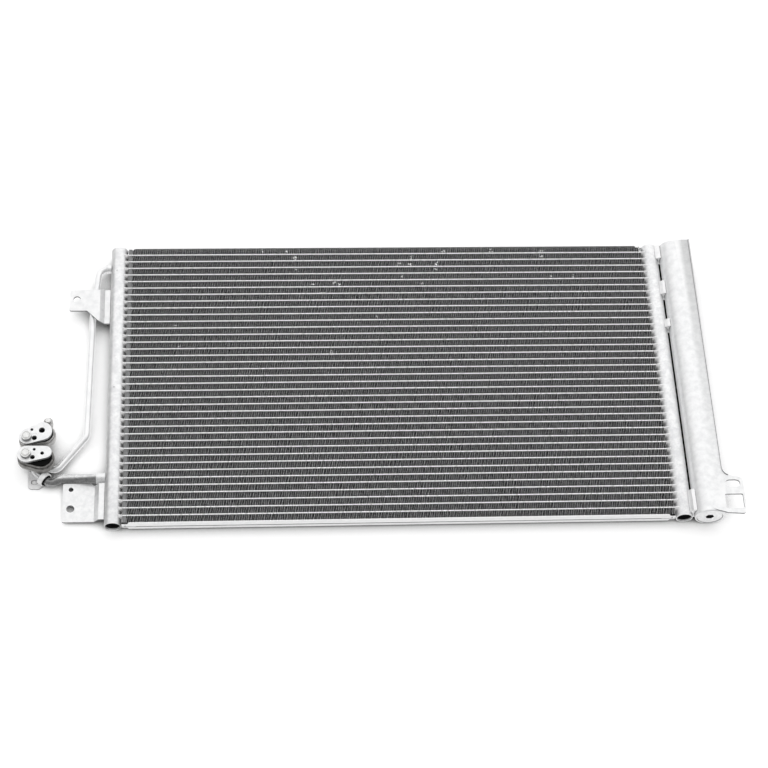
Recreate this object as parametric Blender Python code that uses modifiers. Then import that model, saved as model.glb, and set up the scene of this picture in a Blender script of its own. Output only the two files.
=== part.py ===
"""Parallel flow air conditioning condenser with a bolt-on pipe set and a receiver-drier.

The part lies flat, as it would on a bench.  X runs from the pipe side to the receiver side, Y runs up
the core and Z is the depth of the core.  Lengths are in metres.  The build frame has X = 0 midway
between the two headers, Y = 0 at the middle of the core and Z = 0 on the bench; the root empty then
moves everything so that the origin is under the middle of the part.
"""

import math

import bmesh
import bpy
from mathutils import Vector

# Core: flat tubes one above the other with a folded fin row between each pair
TUBE_COUNT = 38
TUBES_PER_BANK = 2
TUBE_PITCH = 0.0098
TUBE_HEIGHT = 0.0018
CORE_DEPTH = 0.016
FIN_POST_SETBACK = 0.0012
FIN_END_CLEARANCE = 0.0015
FIN_OPENINGS = 3
FIN_POST_WIDTH = 0.006
HEADER_SPAN = 0.6683
SIDE_PLATE_THICKNESS = 0.0012

# Fits: brazed neighbours keep this seam, and a fused strip reaches this far into its carrier
SEAM = 0.0003
WELD_DEPTH = 0.0002

# Headers
HEADER_RADIUS = 0.010
HEADER_WALL = 0.0013
HEADER_HEIGHT = 0.0125
HEADER_OVERHANG = 0.0006
HEADER_SIDES = 16
BORE_SIDES = 10
PIPE_HOLE_SIDES = 16
TUBE_INSERTION = 0.0054
CAP_DEPTH = 0.006
CAP_WALL = 0.0011
BAFFLE_THICKNESS = 0.0016

# Side plates
SIDE_GROOVE_WIDTH = 0.0016
SIDE_GROOVE_DEPTH = 0.0006
SIDE_GROOVE_HEIGHT = 0.0065
SIDE_TAB_LENGTH = 0.0085
SIDE_TAB_WIDTH = 0.008
SIDE_TAB_HOLE_RADIUS = 0.0011
SIDE_TAB_TAPER = 0.88

# Receiver-drier, an extrusion with its mounting flange
RECEIVER_RADIUS = 0.0175
RECEIVER_WALL = 0.002
RECEIVER_GAP = 0.0018
RECEIVER_TOP = 0.190
RECEIVER_BOTTOM = -0.1938
RECEIVER_CHAMFER = 0.0009
RECEIVER_SIDES = 32
RECEIVER_BORE_SIDES = 20
RECEIVER_CAP_THICKNESS = 0.005
PLUG_LENGTH = 0.016
PLUG_SOCKET_RADIUS = 0.0052
PLUG_SOCKET_DEPTH = 0.007
PLUG_RECESS = 0.0005
SEAL_WIDTH = 0.002
SEAL_DEPTH = 0.0012
FILTER_LENGTH = 0.045
BAG_LENGTH = 0.170

# Flange along the receiver, and the foot that it widens into
FLANGE_REACH = 0.0188
FLANGE_THICKNESS = 0.0025
FLANGE_LIP_WIDTH = 0.0014
FLANGE_LIP_HEIGHT = 0.0014
FOOT_REACH = 0.0411
FOOT_LENGTH = 0.046
FOOT_BLEND_RADIUS = 0.009
FOOT_BLEND_START = 0.0062
FOOT_BOTTOM = -0.198
FOOT_TOE_WIDTH = 0.002
FOOT_TOE_HEIGHT = 0.012
FOOT_TOE_RADIUS = 0.010
FOOT_SHOULDER_WIDTH = 0.004
FOOT_SHOULDER_HEIGHT = 0.0022
FOOT_CORNER_RADIUS = 0.003
FOOT_CLIP_HEIGHT = 0.0015
FOOT_CLIP_RADIUS = 0.006
FOOT_SLOT_LENGTH = 0.018
FOOT_SLOT_WIDTH = 0.0095
FOOT_SLOT_Y = -0.1583
FOOT_SLOT_MARGIN = 0.0037
FOOT_WINDOW_WIDTH = 0.0215
FOOT_WINDOW_HEIGHT = 0.0185
FOOT_WINDOW_Y = -0.1816
FOOT_WINDOW_CORNER = 0.0015
FOOT_WINDOW_MARGIN = 0.0025

# Bridges between the right header and the receiver: middle in Y, length in Y and top height
BRIDGE_LENGTHS = {
    "upper_saddle": (0.1805, 0.020, 0.0235),
    "outlet_bridge": (0.1262, 0.019, 0.0245),
    "inlet_bridge": (0.0735, 0.011, 0.0245),
    "lower_saddle": (-0.1745, 0.028, 0.0265),
}
BRIDGE_BASE_HEIGHT = 0.008
BRIDGE_TOP_GAP = 0.0005
BRIDGE_SLOPE_WIDTH = 0.004
PASSAGE_RADIUS = 0.003

# Baffles sit in the gaps between tubes, counted from the middle gap upwards
LEFT_BAFFLE_GAPS = {"left_lower_baffle": 0, "left_upper_baffle": 10}
RIGHT_BAFFLE_GAPS = {"right_lower_baffle": 6, "right_upper_baffle": 10}

# Sheet brackets on the left header; reach is measured outward from the header's surface, and the holes
# and the tab are placed from the outer edge
BRACKET_THICKNESS = 0.0025
BRACKET_STRIP_HEIGHT = 0.0135
BRACKET_STRIP_WIDTH = 0.0065
BRACKET_RAMP_WIDTH = 0.0055
BRACKET_REACH = 0.04925
BRACKET_EDGE_STEP = 0.001
BRACKET_CORNER_RADIUS = 0.0022
UPPER_BRACKET_HEIGHT = 0.0196
UPPER_BRACKET_TOP = 0.1305
UPPER_BRACKET_EAR = 0.0035
UPPER_BRACKET_TAB_BOTTOM = 0.1003
UPPER_BRACKET_TAB_WIDTH = 0.0215
UPPER_BRACKET_BOTTOM = 0.0852
UPPER_BRACKET_KNEE_RADIUS = 0.005
UPPER_BRACKET_HOLE = (0.0088, 0.1167)
UPPER_BRACKET_HOLE_RADIUS = 0.0045
LOWER_BRACKET_HEIGHT = 0.007
LOWER_BRACKET_TOP = -0.1322
LOWER_BRACKET_BOTTOM = -0.1824
LOWER_BRACKET_NOTCH_WIDTH = 0.004
LOWER_BRACKET_NOTCH_RADIUS = 0.001
LOWER_BRACKET_HOLE = (0.0095, -0.1652)
LOWER_BRACKET_HOLE_RADIUS = 0.0047
LOWER_BRACKET_SMALL_HOLE = (0.0095, -0.1400)
LOWER_BRACKET_SMALL_HOLE_RADIUS = 0.0029

# Pipes
UPPER_PIPE_RADIUS = 0.004
LOWER_PIPE_RADIUS = 0.005
UPPER_PIPE_Y = 0.1655
LOWER_PIPE_Y = -0.1280
PIPE_INSERTION = 0.0028
FERRULE_WALL = 0.0017
UPPER_FERRULE_LENGTH = 0.0062
LOWER_FERRULE_LENGTH = 0.0105
RUN_HEIGHT = 0.0087

# Block fittings at the ends of the pipes: lobes and holes are (reach, y, radius), with reach measured
# outward from the left header's surface; each rise is measured from the height before it
FITTING_BASE_HEIGHT = 0.017
FITTING_SHOULDER_RISE = 0.0078
FITTING_RIM_RISE = 0.0037
FITTING_RIM_STEP = 0.0013
FITTING_RIM_WALL = 0.0012
FITTING_POCKET_DEPTH = 0.002
FITTING_NECK_RADIUS = 0.007
FITTING_NECK_BOTTOM = 0.0016
FITTING_PORT_RADIUS = 0.0032
COVER_THICKNESS = 0.0035
SEAL_STAND = 0.0025
SCREW_HEAD_RADIUS = 0.0058
SCREW_HEAD_HEIGHT = 0.0045
SCREW_SHANK_RADIUS = 0.0028
SCREW_DEPTH = 0.013
LOBE_SIDES = 9
SMALL_HOLE_SIDES = 10
UPPER_FITTING_LOBES = ((0.09035, -0.0830, 0.0105), (0.07235, -0.0762, 0.0140))
LOWER_FITTING_LOBES = ((0.09045, -0.1064, 0.0112), (0.07335, -0.1080, 0.0150))
UPPER_COVER_LOBES = ((0.09035, -0.0830, 0.0100), (0.07365, -0.0762, 0.0120))
LOWER_COVER_LOBES = ((0.09045, -0.1064, 0.0108), (0.06915, -0.1042, 0.0080))
UPPER_COVER_HOLES = ((0.07365, -0.0752, 0.0036), (0.08205, -0.0854, 0.0031), (0.08535, -0.0742, 0.0017))
LOWER_COVER_HOLES = ((0.08305, -0.1110, 0.0028), (0.07215, -0.1058, 0.0022), (0.08145, -0.1006, 0.0017))
UPPER_SCREW = (0.09105, -0.0840)
LOWER_SCREW = (0.09105, -0.1068)
UPPER_NECK = (0.07685, -0.0800)
LOWER_NECK = (0.06985, -0.1085)
LUG_LOBE = (0.06835, -0.0560, 0.0055)
LUG_TOP = 0.0205
LUG_THICKNESS = 0.0065
LUG_BOLT_RADIUS = 0.0034
LUG_BOLT_HEAD = 0.0036
LUG_BOLT_SHANK_RADIUS = 0.002

# Cushioned clamp round the lower pipe, whose tab rests on the bench; its slot is (reach, y)
CLAMP_LINER_WALL = 0.0016
CLAMP_BAND_WALL = 0.0014
CLAMP_BAND_WIDTH = 0.0062
CLAMP_LINER_WIDTH = 0.0084
CLAMP_DISTANCE = 0.0098
CLAMP_SIDES = 20
CLAMP_SLOT_LENGTH = 0.0092
CLAMP_SLOT_WIDTH = 0.006
CLAMP_SLOT = (0.08285, -0.1268)
CLAMP_TAB_OUTER = 0.0075
CLAMP_TAB_INNER = 0.0054
CLAMP_TAB_BACK = 0.0138
CLAMP_TAB_FRONT = 0.0087
CLAMP_TAB_STEP = 0.0006
CLAMP_TAB_SHOULDER = 0.006
CLAMP_CORNER_RADIUS = 0.001

# Corners of the pipe runs after they leave the header, chosen by hand, as reach outward from the
# header's surface, y and z, each with the radius of its bend
UPPER_PIPE_BENDS = (
    ((0.01505, UPPER_PIPE_Y, HEADER_HEIGHT), 0.012),
    ((0.02095, 0.0940, HEADER_HEIGHT), 0.060),
    ((0.02345, -0.0725, 0.0118), 0.013),
    ((0.05930, -0.1190, 0.0092), 0.009),
)
LOWER_PIPE_BENDS = (
    ((0.01635, LOWER_PIPE_Y, 0.0122), 0.040),
    ((0.03785, -0.1256, RUN_HEIGHT), 0.030),
    ((0.05185, -0.1262, RUN_HEIGHT), 0.020),
    ((0.06400, -0.1330, RUN_HEIGHT), 0.007),
    ((0.08405, -0.1143, RUN_HEIGHT), 0.013),
)

# Places that follow from the sizes above
HALF_SPAN = HEADER_SPAN / 2
FIN_HEIGHT = TUBE_PITCH - TUBE_HEIGHT
FIRST_TUBE_Y = (TUBE_COUNT - 1) / 2 * TUBE_PITCH
CORE_HALF_HEIGHT = FIRST_TUBE_Y + TUBE_HEIGHT / 2 + FIN_HEIGHT + SIDE_PLATE_THICKNESS
HEADER_HALF_LENGTH = CORE_HALF_HEIGHT + HEADER_OVERHANG
HEADER_BORE = HEADER_RADIUS - HEADER_WALL
CORE_TOP = HEADER_HEIGHT + CORE_DEPTH / 2
CORE_BOTTOM = HEADER_HEIGHT - CORE_DEPTH / 2
TUBE_HALF_LENGTH = HALF_SPAN - HEADER_RADIUS + TUBE_INSERTION
FIN_HALF_LENGTH = HALF_SPAN - HEADER_RADIUS - FIN_END_CLEARANCE
RECEIVER_X = HALF_SPAN + HEADER_RADIUS + RECEIVER_GAP + RECEIVER_RADIUS
RECEIVER_HEIGHT = RECEIVER_RADIUS
RECEIVER_BORE = RECEIVER_RADIUS - RECEIVER_WALL
FLANGE_TOP = RECEIVER_HEIGHT + RECEIVER_RADIUS
FLANGE_EDGE_X = RECEIVER_X + FLANGE_REACH
FOOT_EDGE_X = RECEIVER_X + FOOT_REACH
LEFT_SURFACE_X = -HALF_SPAN - HEADER_RADIUS
SEAT_X = LEFT_SURFACE_X - SEAM
STRIP_END_X = SEAT_X - BRACKET_STRIP_WIDTH
RAMP_END_X = STRIP_END_X - BRACKET_RAMP_WIDTH
BRACKET_OUTER_X = LEFT_SURFACE_X - BRACKET_REACH
FOOT_SHOULDER_Y = FOOT_BOTTOM + FOOT_LENGTH
FITTING_SHOULDER_HEIGHT = FITTING_BASE_HEIGHT + FITTING_SHOULDER_RISE
FITTING_RIM_HEIGHT = FITTING_SHOULDER_HEIGHT + FITTING_RIM_RISE
COVER_BOTTOM = FITTING_RIM_HEIGHT + SEAL_STAND
COVER_HEIGHT = COVER_BOTTOM + COVER_THICKNESS

SHARP_ANGLE = 32
AXIS_TURNS = {"X": (math.pi / 2, 0, math.pi / 2), "Y": (math.pi / 2, 0, 0), "Z": (0, 0, 0)}


def clear_scene():
    for obj in list(bpy.data.objects):
        bpy.data.objects.remove(obj, do_unlink=True)


def make_collection(name):
    collection = bpy.data.collections.new(name)
    bpy.context.scene.collection.children.link(collection)
    return collection


def make_material(name, color, roughness, metallic):
    material = bpy.data.materials.new(name)
    material.use_nodes = True
    shader = material.node_tree.nodes["Principled BSDF"]
    shader.inputs["Base Color"].default_value = (*color, 1.0)
    shader.inputs["Roughness"].default_value = roughness
    shader.inputs["Metallic"].default_value = metallic
    material.diffuse_color = (*color, 1.0)
    return material


clear_scene()
PART = make_collection("air_conditioning_condenser")
CUTTERS = make_collection("cutters")
ROOT = bpy.data.objects.new("condenser_root", None)
PART.objects.link(ROOT)


def place(obj, collection=PART, location=(0, 0, 0), turn=(0, 0, 0)):
    """Link an object, put it where it belongs and carry it with the root."""
    collection.objects.link(obj)
    obj.location = location
    obj.rotation_euler = turn
    obj.parent = ROOT
    if collection is CUTTERS:
        obj.hide_render = True
        obj.display_type = "WIRE"
    return obj


def mesh_from(obj):
    """The evaluated mesh of an object, with its loose caps welded; the object itself is removed."""
    bpy.context.view_layer.update()
    depsgraph = bpy.context.evaluated_depsgraph_get()
    mesh = bpy.data.meshes.new_from_object(obj.evaluated_get(depsgraph))
    work = bmesh.new()
    work.from_mesh(mesh)
    bmesh.ops.remove_doubles(work, verts=work.verts, dist=0.000005)
    bmesh.ops.dissolve_limit(work, angle_limit=math.radians(0.1), verts=work.verts, edges=work.edges)
    work.to_mesh(mesh)
    work.free()
    bpy.data.objects.remove(obj, do_unlink=True)
    return mesh


def finish(obj, material):
    """Settle a piece's modifiers into its mesh, give it its material and smooth its round faces."""
    if obj.modifiers:
        bpy.context.view_layer.update()
        depsgraph = bpy.context.evaluated_depsgraph_get()
        mesh = bpy.data.meshes.new_from_object(obj.evaluated_get(depsgraph))
        obj.modifiers.clear()
        obj.data = mesh
    obj.data.materials.clear()
    obj.data.materials.append(material)
    obj.data.shade_smooth()
    obj.data.set_sharp_from_angle(angle=math.radians(SHARP_ANGLE))
    return obj


def prism(name, outline, low, high, axis="Z", holes=(), collection=PART):
    """A flat outline with holes, extruded from low to high along an axis.

    The outline's two coordinates are (x, y) for axis Z, (x, z) for axis Y and (y, z) for axis X.
    """
    curve = bpy.data.curves.new(name, "CURVE")
    curve.dimensions = "2D"
    curve.fill_mode = "BOTH"
    curve.extrude = (high - low) / 2
    for loop in (outline, *holes):
        spline = curve.splines.new("POLY")
        spline.points.add(len(loop) - 1)
        for point, (u, v) in zip(spline.points, loop):
            point.co = (u, v, 0, 1)
        spline.use_cyclic_u = True
    flat = bpy.data.objects.new(name, curve)
    bpy.context.scene.collection.objects.link(flat)
    mesh = mesh_from(flat)
    middle = (low + high) / 2
    location = {"X": (middle, 0, 0), "Y": (0, middle, 0), "Z": (0, 0, middle)}[axis]
    solid = bpy.data.objects.new(name, mesh)
    return place(solid, collection, location, AXIS_TURNS[axis])


def box(name, low, high, collection=PART):
    """A box between two corners."""
    mesh = bpy.data.meshes.new(name)
    work = bmesh.new()
    bmesh.ops.create_cube(work, size=1.0)
    size = Vector(high) - Vector(low)
    bmesh.ops.scale(work, vec=size, verts=work.verts)
    work.to_mesh(mesh)
    work.free()
    middle = (Vector(low) + Vector(high)) / 2
    return place(bpy.data.objects.new(name, mesh), collection, middle)


def round_bar(name, radius, low, high, axis, centre, sides=24, collection=CUTTERS):
    """A cylinder along an axis; centre holds the two coordinates across it."""
    points = circle(centre, radius, sides)
    return prism(name, points, low, high, axis, collection=collection)


def turned(name, profile, sides, location, turn, collection=PART):
    """A turned piece: the profile's (radius, height) points swept about the local Z axis."""
    mesh = bpy.data.meshes.new(name)
    points = [(radius, 0, height) for radius, height in profile]
    edges = [(i, i + 1) for i in range(len(points) - 1)]
    mesh.from_pydata(points, edges, [])
    obj = bpy.data.objects.new(name, mesh)
    screw = obj.modifiers.new("turn", "SCREW")
    screw.axis = "Z"
    screw.steps = sides
    screw.render_steps = sides
    screw.use_merge_vertices = True
    screw.merge_threshold = 0.000001
    screw.use_smooth_shade = True
    return place(obj, collection, location, turn)


def combine(obj, other, operation):
    """Boolean modifier with another object, which is kept among the cutters."""
    modifier = obj.modifiers.new(operation.lower(), "BOOLEAN")
    modifier.operation = operation
    modifier.object = other
    modifier.solver = "EXACT"
    return obj


def cut(obj, *others):
    for other in others:
        combine(obj, other, "DIFFERENCE")
    return obj


def join(obj, *others):
    for other in others:
        combine(obj, other, "UNION")
    return obj


def copies(obj, count, step):
    """Repeat an object in place, each copy one step from the last."""
    array = obj.modifiers.new("row", "ARRAY")
    array.count = count
    array.use_relative_offset = False
    array.use_constant_offset = True
    array.constant_offset_displace = step
    return obj


def arc(centre, radius, start, end, steps):
    """Points on an arc, angles in degrees."""
    angles = [math.radians(start + (end - start) * i / steps) for i in range(steps + 1)]
    return [(centre[0] + radius * math.cos(a), centre[1] + radius * math.sin(a)) for a in angles]


def circle(centre, radius, sides):
    return arc(centre, radius, 0, 360, sides)[:-1]


def rounded_outline(corners, radius, steps=4):
    """A polygon whose corners are rounded; a corner given as (x, y, r) has its own radius."""
    points = []
    count = len(corners)
    for i, corner in enumerate(corners):
        here = Vector(corner[:2])
        before = (Vector(corners[i - 1][:2]) - here).normalized()
        after = (Vector(corners[(i + 1) % count][:2]) - here).normalized()
        r = corner[2] if len(corner) > 2 else radius
        if r == 0:
            points.append(tuple(here))
            continue
        half = before.angle(after) / 2
        reach = r / math.tan(half)
        centre = here + (before + after).normalized() * (r / math.sin(half))
        first = here + before * reach - centre
        turn = first.angle_signed(here + after * reach - centre)
        for step in range(steps + 1):
            a = -turn * step / steps
            x = first.x * math.cos(a) - first.y * math.sin(a)
            y = first.x * math.sin(a) + first.y * math.cos(a)
            points.append((centre.x + x, centre.y + y))
    return points


def outward(item):
    """A place or a lobe given by its reach from the left header's surface, as one with its own x."""
    return (LEFT_SURFACE_X - item[0], *item[1:])


def outward_all(items):
    return [outward(item) for item in items]


def slot_outline(centre, length, width, steps=5):
    """A slot with round ends, long in the first coordinate."""
    reach = (length - width) / 2
    right = arc((centre[0] + reach, centre[1]), width / 2, -90, 90, steps)
    left = arc((centre[0] - reach, centre[1]), width / 2, 90, 270, steps)
    return right + left


def lobed_outline(lobes, grow=0.0):
    """The outline round two circles and the tangents between them."""
    (x1, y1, r1), (x2, y2, r2) = lobes
    r1 += grow
    r2 += grow
    heading = math.degrees(math.atan2(y2 - y1, x2 - x1))
    spread = math.degrees(math.acos((r1 - r2) / math.hypot(x2 - x1, y2 - y1)))
    far = arc((x1, y1), r1, heading + spread, heading + 360 - spread, LOBE_SIDES)
    near = arc((x2, y2), r2, heading - spread, heading + spread, LOBE_SIDES)
    return far + near


def rounded_path(start, bends, end, steps=6):
    """A pipe's centre line: straight runs with an arc at each bend."""
    corners = [Vector(start)] + [Vector(outward(corner)) for corner, _ in bends] + [Vector(end)]
    radii = [0] + [radius for _, radius in bends] + [0]
    points = [corners[0]]
    for i in range(1, len(corners) - 1):
        here = corners[i]
        before = (corners[i - 1] - here).normalized()
        after = (corners[i + 1] - here).normalized()
        half = before.angle(after) / 2
        reach = radii[i] / math.tan(half)
        centre = here + (before + after).normalized() * (radii[i] / math.sin(half))
        first = here + before * reach - centre
        last = here + after * reach - centre
        sweep = first.angle(last)
        pieces = max(2, min(steps, round(math.degrees(sweep) / 12)))
        for step in range(pieces + 1):
            t = step / pieces
            a = first * (math.sin((1 - t) * sweep) / math.sin(sweep))
            b = last * (math.sin(t * sweep) / math.sin(sweep))
            points.append(centre + a + b)
    points.append(corners[-1])
    return points


def pipe(name, path, radius, material):
    """A round pipe along a path."""
    curve = bpy.data.curves.new(name, "CURVE")
    curve.dimensions = "3D"
    curve.bevel_depth = radius
    curve.bevel_resolution = 3
    curve.use_fill_caps = True
    spline = curve.splines.new("POLY")
    spline.points.add(len(path) - 1)
    for point, spot in zip(spline.points, path):
        point.co = (*spot, 1)
    obj = place(bpy.data.objects.new(name, curve))
    curve.materials.append(material)
    return obj


ALUMINIUM = make_material("brazed_aluminium", (0.80, 0.81, 0.82), 0.42, 1.0)
TUBE_METAL = make_material("tube_aluminium", (0.74, 0.75, 0.76), 0.45, 1.0)
SHEET_METAL = make_material("sheet_aluminium", (0.84, 0.85, 0.86), 0.38, 1.0)
PIPE_METAL = make_material("pipe_aluminium", (0.78, 0.79, 0.80), 0.34, 1.0)
CAST_METAL = make_material("machined_aluminium", (0.66, 0.66, 0.67), 0.40, 1.0)
STEEL = make_material("plated_steel", (0.62, 0.62, 0.63), 0.30, 1.0)
RUBBER = make_material("black_rubber", (0.02, 0.02, 0.02), 0.70, 0.0)
DARK_CAP = make_material("end_cap_aluminium", (0.36, 0.36, 0.37), 0.55, 1.0)
DESICCANT = make_material("felt_bag", (0.85, 0.83, 0.78), 0.95, 0.0)
FILTER_PLASTIC = make_material("filter_nylon", (0.88, 0.87, 0.82), 0.60, 0.0)


def tube_outline():
    """Cross-section of a flat tube in (y, z), with round noses."""
    r = TUBE_HEIGHT / 2
    upper = arc((0, CORE_TOP - r), r, 0, 180, 2)
    lower = arc((0, CORE_BOTTOM + r), r, 180, 360, 2)
    return upper + lower


def fin_posts(name, low_y, high_y):
    """One fin row between two tubes: its folds are finer than a solid can hold, so it is an open grid."""
    low = (-FIN_HALF_LENGTH, low_y, CORE_BOTTOM + FIN_POST_SETBACK)
    high = (FIN_POST_WIDTH - FIN_HALF_LENGTH, high_y, CORE_TOP - FIN_POST_SETBACK)
    posts = box(name, low, high, CUTTERS)
    step = (2 * FIN_HALF_LENGTH - FIN_POST_WIDTH) / FIN_OPENINGS
    return copies(posts, FIN_OPENINGS + 1, (step, 0, 0))


def bank_mesh():
    """Two flat tubes and the open fin rows above them, with Y measured from the lower tube."""
    half = TUBE_HALF_LENGTH
    bank = prism("bank", tube_outline(), -half, half, "X", collection=CUTTERS)
    second = prism("tube", tube_outline(), -half, half, "X", collection=CUTTERS)
    second.location.y = TUBE_PITCH
    face = TUBE_HEIGHT / 2
    inner = fin_posts("inner_fin", face - WELD_DEPTH, TUBE_PITCH - face + WELD_DEPTH)
    outer = fin_posts("outer_fin", TUBE_PITCH + face - WELD_DEPTH, 2 * TUBE_PITCH - face - SEAM)
    join(bank, inner, second, outer)
    local = bank.matrix_local.copy()
    mesh = mesh_from(bank)
    mesh.transform(local)
    for helper in (inner, second, outer):
        bpy.data.objects.remove(helper, do_unlink=True)
    return mesh


def build_core():
    mesh = bank_mesh()
    for index in range(TUBE_COUNT // TUBES_PER_BANK):
        lower_tube = index * TUBES_PER_BANK + 1
        name = f"tube_bank_{index + 1:02d}"
        y = FIRST_TUBE_Y - lower_tube * TUBE_PITCH
        finish(place(bpy.data.objects.new(name, mesh), location=(0, y, 0)), TUBE_METAL)


def header_mesh():
    """A header tube along Y about its own axis, with a slot for each tube on its +X side."""
    half = HEADER_HALF_LENGTH
    shell = round_bar("header", HEADER_RADIUS, -half, half, "Y", (0, 0), HEADER_SIDES)
    bore = round_bar("bore", HEADER_BORE, -half - SEAM, half + SEAM, "Y", (0, 0), BORE_SIDES)
    slot_depth = HEADER_RADIUS - TUBE_INSERTION - SEAM
    slot_height = TUBE_HEIGHT / 2 + SEAM
    slot_reach = CORE_DEPTH / 2 + SEAM
    low = (slot_depth, -slot_height, -slot_reach)
    slots = box("slots", low, (HEADER_RADIUS + SEAM, slot_height, slot_reach), CUTTERS)
    slots.location.y = -FIRST_TUBE_Y
    copies(slots, TUBE_COUNT, (0, TUBE_PITCH, 0))
    cut(shell, bore, slots)
    local = shell.matrix_local.copy()
    mesh = mesh_from(shell)
    mesh.transform(local)
    for helper in (bore, slots):
        bpy.data.objects.remove(helper, do_unlink=True)
    return mesh


def end_cap(name, x, side):
    """A pressed cup that closes a header's end; side is +1 at the top and -1 at the bottom."""
    outer = HEADER_BORE - SEAM
    inner = outer - CAP_WALL
    profile = [(0, -CAP_WALL), (inner, -CAP_WALL), (inner, CAP_DEPTH), (outer, CAP_DEPTH)]
    profile += [(outer, -2 * CAP_WALL), (0, -2 * CAP_WALL)]
    turn = (-side * math.pi / 2, 0, 0)
    y = side * (HEADER_HALF_LENGTH - CAP_DEPTH)
    finish(turned(name, profile, BORE_SIDES, (x, y, HEADER_HEIGHT), turn), DARK_CAP)


def baffle(name, x, gap):
    """A disc brazed inside a header, which sends the refrigerant back through the core."""
    radius = HEADER_BORE - SEAM
    y = gap * TUBE_PITCH
    half = BAFFLE_THICKNESS / 2
    disc = round_bar(name, radius, y - half, y + half, "Y", (x, HEADER_HEIGHT), BORE_SIDES, PART)
    finish(disc, DARK_CAP)


def build_headers():
    mesh = header_mesh()
    left = bpy.data.objects.new("left_header", mesh)
    place(left, location=(-HALF_SPAN, 0, HEADER_HEIGHT))
    right = bpy.data.objects.new("right_header", mesh.copy())
    place(right, location=(HALF_SPAN, 0, HEADER_HEIGHT))
    right.rotation_euler = (0, 0, math.pi)
    for y, z, radius in (
        (UPPER_PIPE_Y, HEADER_HEIGHT, UPPER_PIPE_RADIUS),
        (LOWER_PIPE_Y, LOWER_PIPE_BENDS[0][0][2], LOWER_PIPE_RADIUS),
    ):
        low = LEFT_SURFACE_X - HEADER_RADIUS
        high = -HALF_SPAN - HEADER_BORE / 2
        cut(left, round_bar("pipe_hole", radius + SEAM, low, high, "X", (y, z), PIPE_HOLE_SIDES))
    for name in ("outlet_bridge", "inlet_bridge"):
        cut(right, passage(BRIDGE_LENGTHS[name][0]))
    finish(left, ALUMINIUM)
    finish(right, ALUMINIUM)
    for side, word in ((1, "upper"), (-1, "lower")):
        end_cap(f"left_header_{word}_cap", -HALF_SPAN, side)
        end_cap(f"right_header_{word}_cap", HALF_SPAN, side)
    for name, gap in LEFT_BAFFLE_GAPS.items():
        baffle(name, -HALF_SPAN, gap)
    for name, gap in RIGHT_BAFFLE_GAPS.items():
        baffle(name, HALF_SPAN, gap)


def side_plate(name, side):
    """The strip that guards the last fin row; side is +1 at the top and -1 at the bottom."""
    middle = HEADER_HEIGHT
    tab = SIDE_TAB_WIDTH / 2
    end = HALF_SPAN - HEADER_RADIUS - SEAM
    shoulder = end - SIDE_TAB_LENGTH
    half = CORE_DEPTH / 2
    tip = tab * SIDE_TAB_TAPER
    outline = [(shoulder, middle - half), (shoulder + tab / 2, middle - tab), (end, middle - tip)]
    outline += [(end, middle + tip), (shoulder + tab / 2, middle + tab), (shoulder, middle + half)]
    outline += [(-x, z) for x, z in reversed(outline)]
    hole_x = end - SIDE_TAB_LENGTH / 2
    holes = [circle((x, middle), SIDE_TAB_HOLE_RADIUS, SMALL_HOLE_SIDES) for x in (-hole_x, hole_x)]
    outer = side * CORE_HALF_HEIGHT
    inner = outer - side * (SIDE_PLATE_THICKNESS - SEAM)
    plate = prism(name, outline, min(inner, outer), max(inner, outer), "Y", holes)
    z = CORE_BOTTOM + SIDE_GROOVE_HEIGHT
    floor = outer - side * SIDE_GROOVE_DEPTH
    mouth = outer + side * SEAM
    low = (-shoulder + half, min(floor, mouth), z - SIDE_GROOVE_WIDTH / 2)
    high = (shoulder - half, max(floor, mouth), z + SIDE_GROOVE_WIDTH / 2)
    return cut(plate, box("groove", low, high, CUTTERS))


def build_side_plates():
    finish(side_plate("upper_side_plate", 1), SHEET_METAL)
    lower = side_plate("lower_side_plate", -1)
    inner = -CORE_HALF_HEIGHT + SIDE_PLATE_THICKNESS - SEAM - WELD_DEPTH
    last_tube_face = -FIRST_TUBE_Y - TUBE_HEIGHT / 2
    join(lower, fin_posts("last_fin", inner, last_tube_face - SEAM))
    finish(lower, SHEET_METAL)


def passage(y):
    """The refrigerant passage between the right header and the receiver, as a cutter."""
    low = HALF_SPAN + HEADER_BORE / 2
    high = RECEIVER_X - RECEIVER_BORE + RECEIVER_WALL
    z = (HEADER_HEIGHT + RECEIVER_HEIGHT) / 2
    return round_bar("passage", PASSAGE_RADIUS, low, high, "X", (y, z), SMALL_HOLE_SIDES)


def bridge(name):
    """A saddle block that fills the valley between the header and the receiver."""
    y, length, top = BRIDGE_LENGTHS[name]
    low = (HALF_SPAN, y - length / 2, BRIDGE_BASE_HEIGHT)
    high = (RECEIVER_X - RECEIVER_RADIUS / 2, y + length / 2, top)
    block = box(name, low, high)
    header = round_bar("header_side", HEADER_RADIUS + SEAM, y - length, y + length, "Y",
                       (HALF_SPAN, HEADER_HEIGHT), HEADER_SIDES)
    receiver = round_bar("receiver_side", RECEIVER_RADIUS + SEAM, y - length, y + length, "Y",
                         (RECEIVER_X, RECEIVER_HEIGHT), RECEIVER_SIDES)
    lid = prism("valley", valley_outline(top), y - length, y + length, "Y", collection=CUTTERS)
    cut(block, header, receiver, lid)
    if name in ("outlet_bridge", "inlet_bridge"):
        cut(block, passage(y))
    return finish(block, SHEET_METAL)


def valley_outline(top):
    """What is cut from a bridge's box so that its top slopes from the receiver down to the header."""
    low_x = HALF_SPAN - HEADER_RADIUS
    shoulder = HALF_SPAN + HEADER_RADIUS * 0.55
    crest = HEADER_HEIGHT + HEADER_RADIUS * 0.82
    high_x = RECEIVER_X
    face = top - BRIDGE_TOP_GAP
    lid = top + HEADER_RADIUS
    return [(low_x, crest), (shoulder, crest), (shoulder + BRIDGE_SLOPE_WIDTH, face),
            (high_x, face), (high_x, lid), (low_x, lid)]


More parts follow.
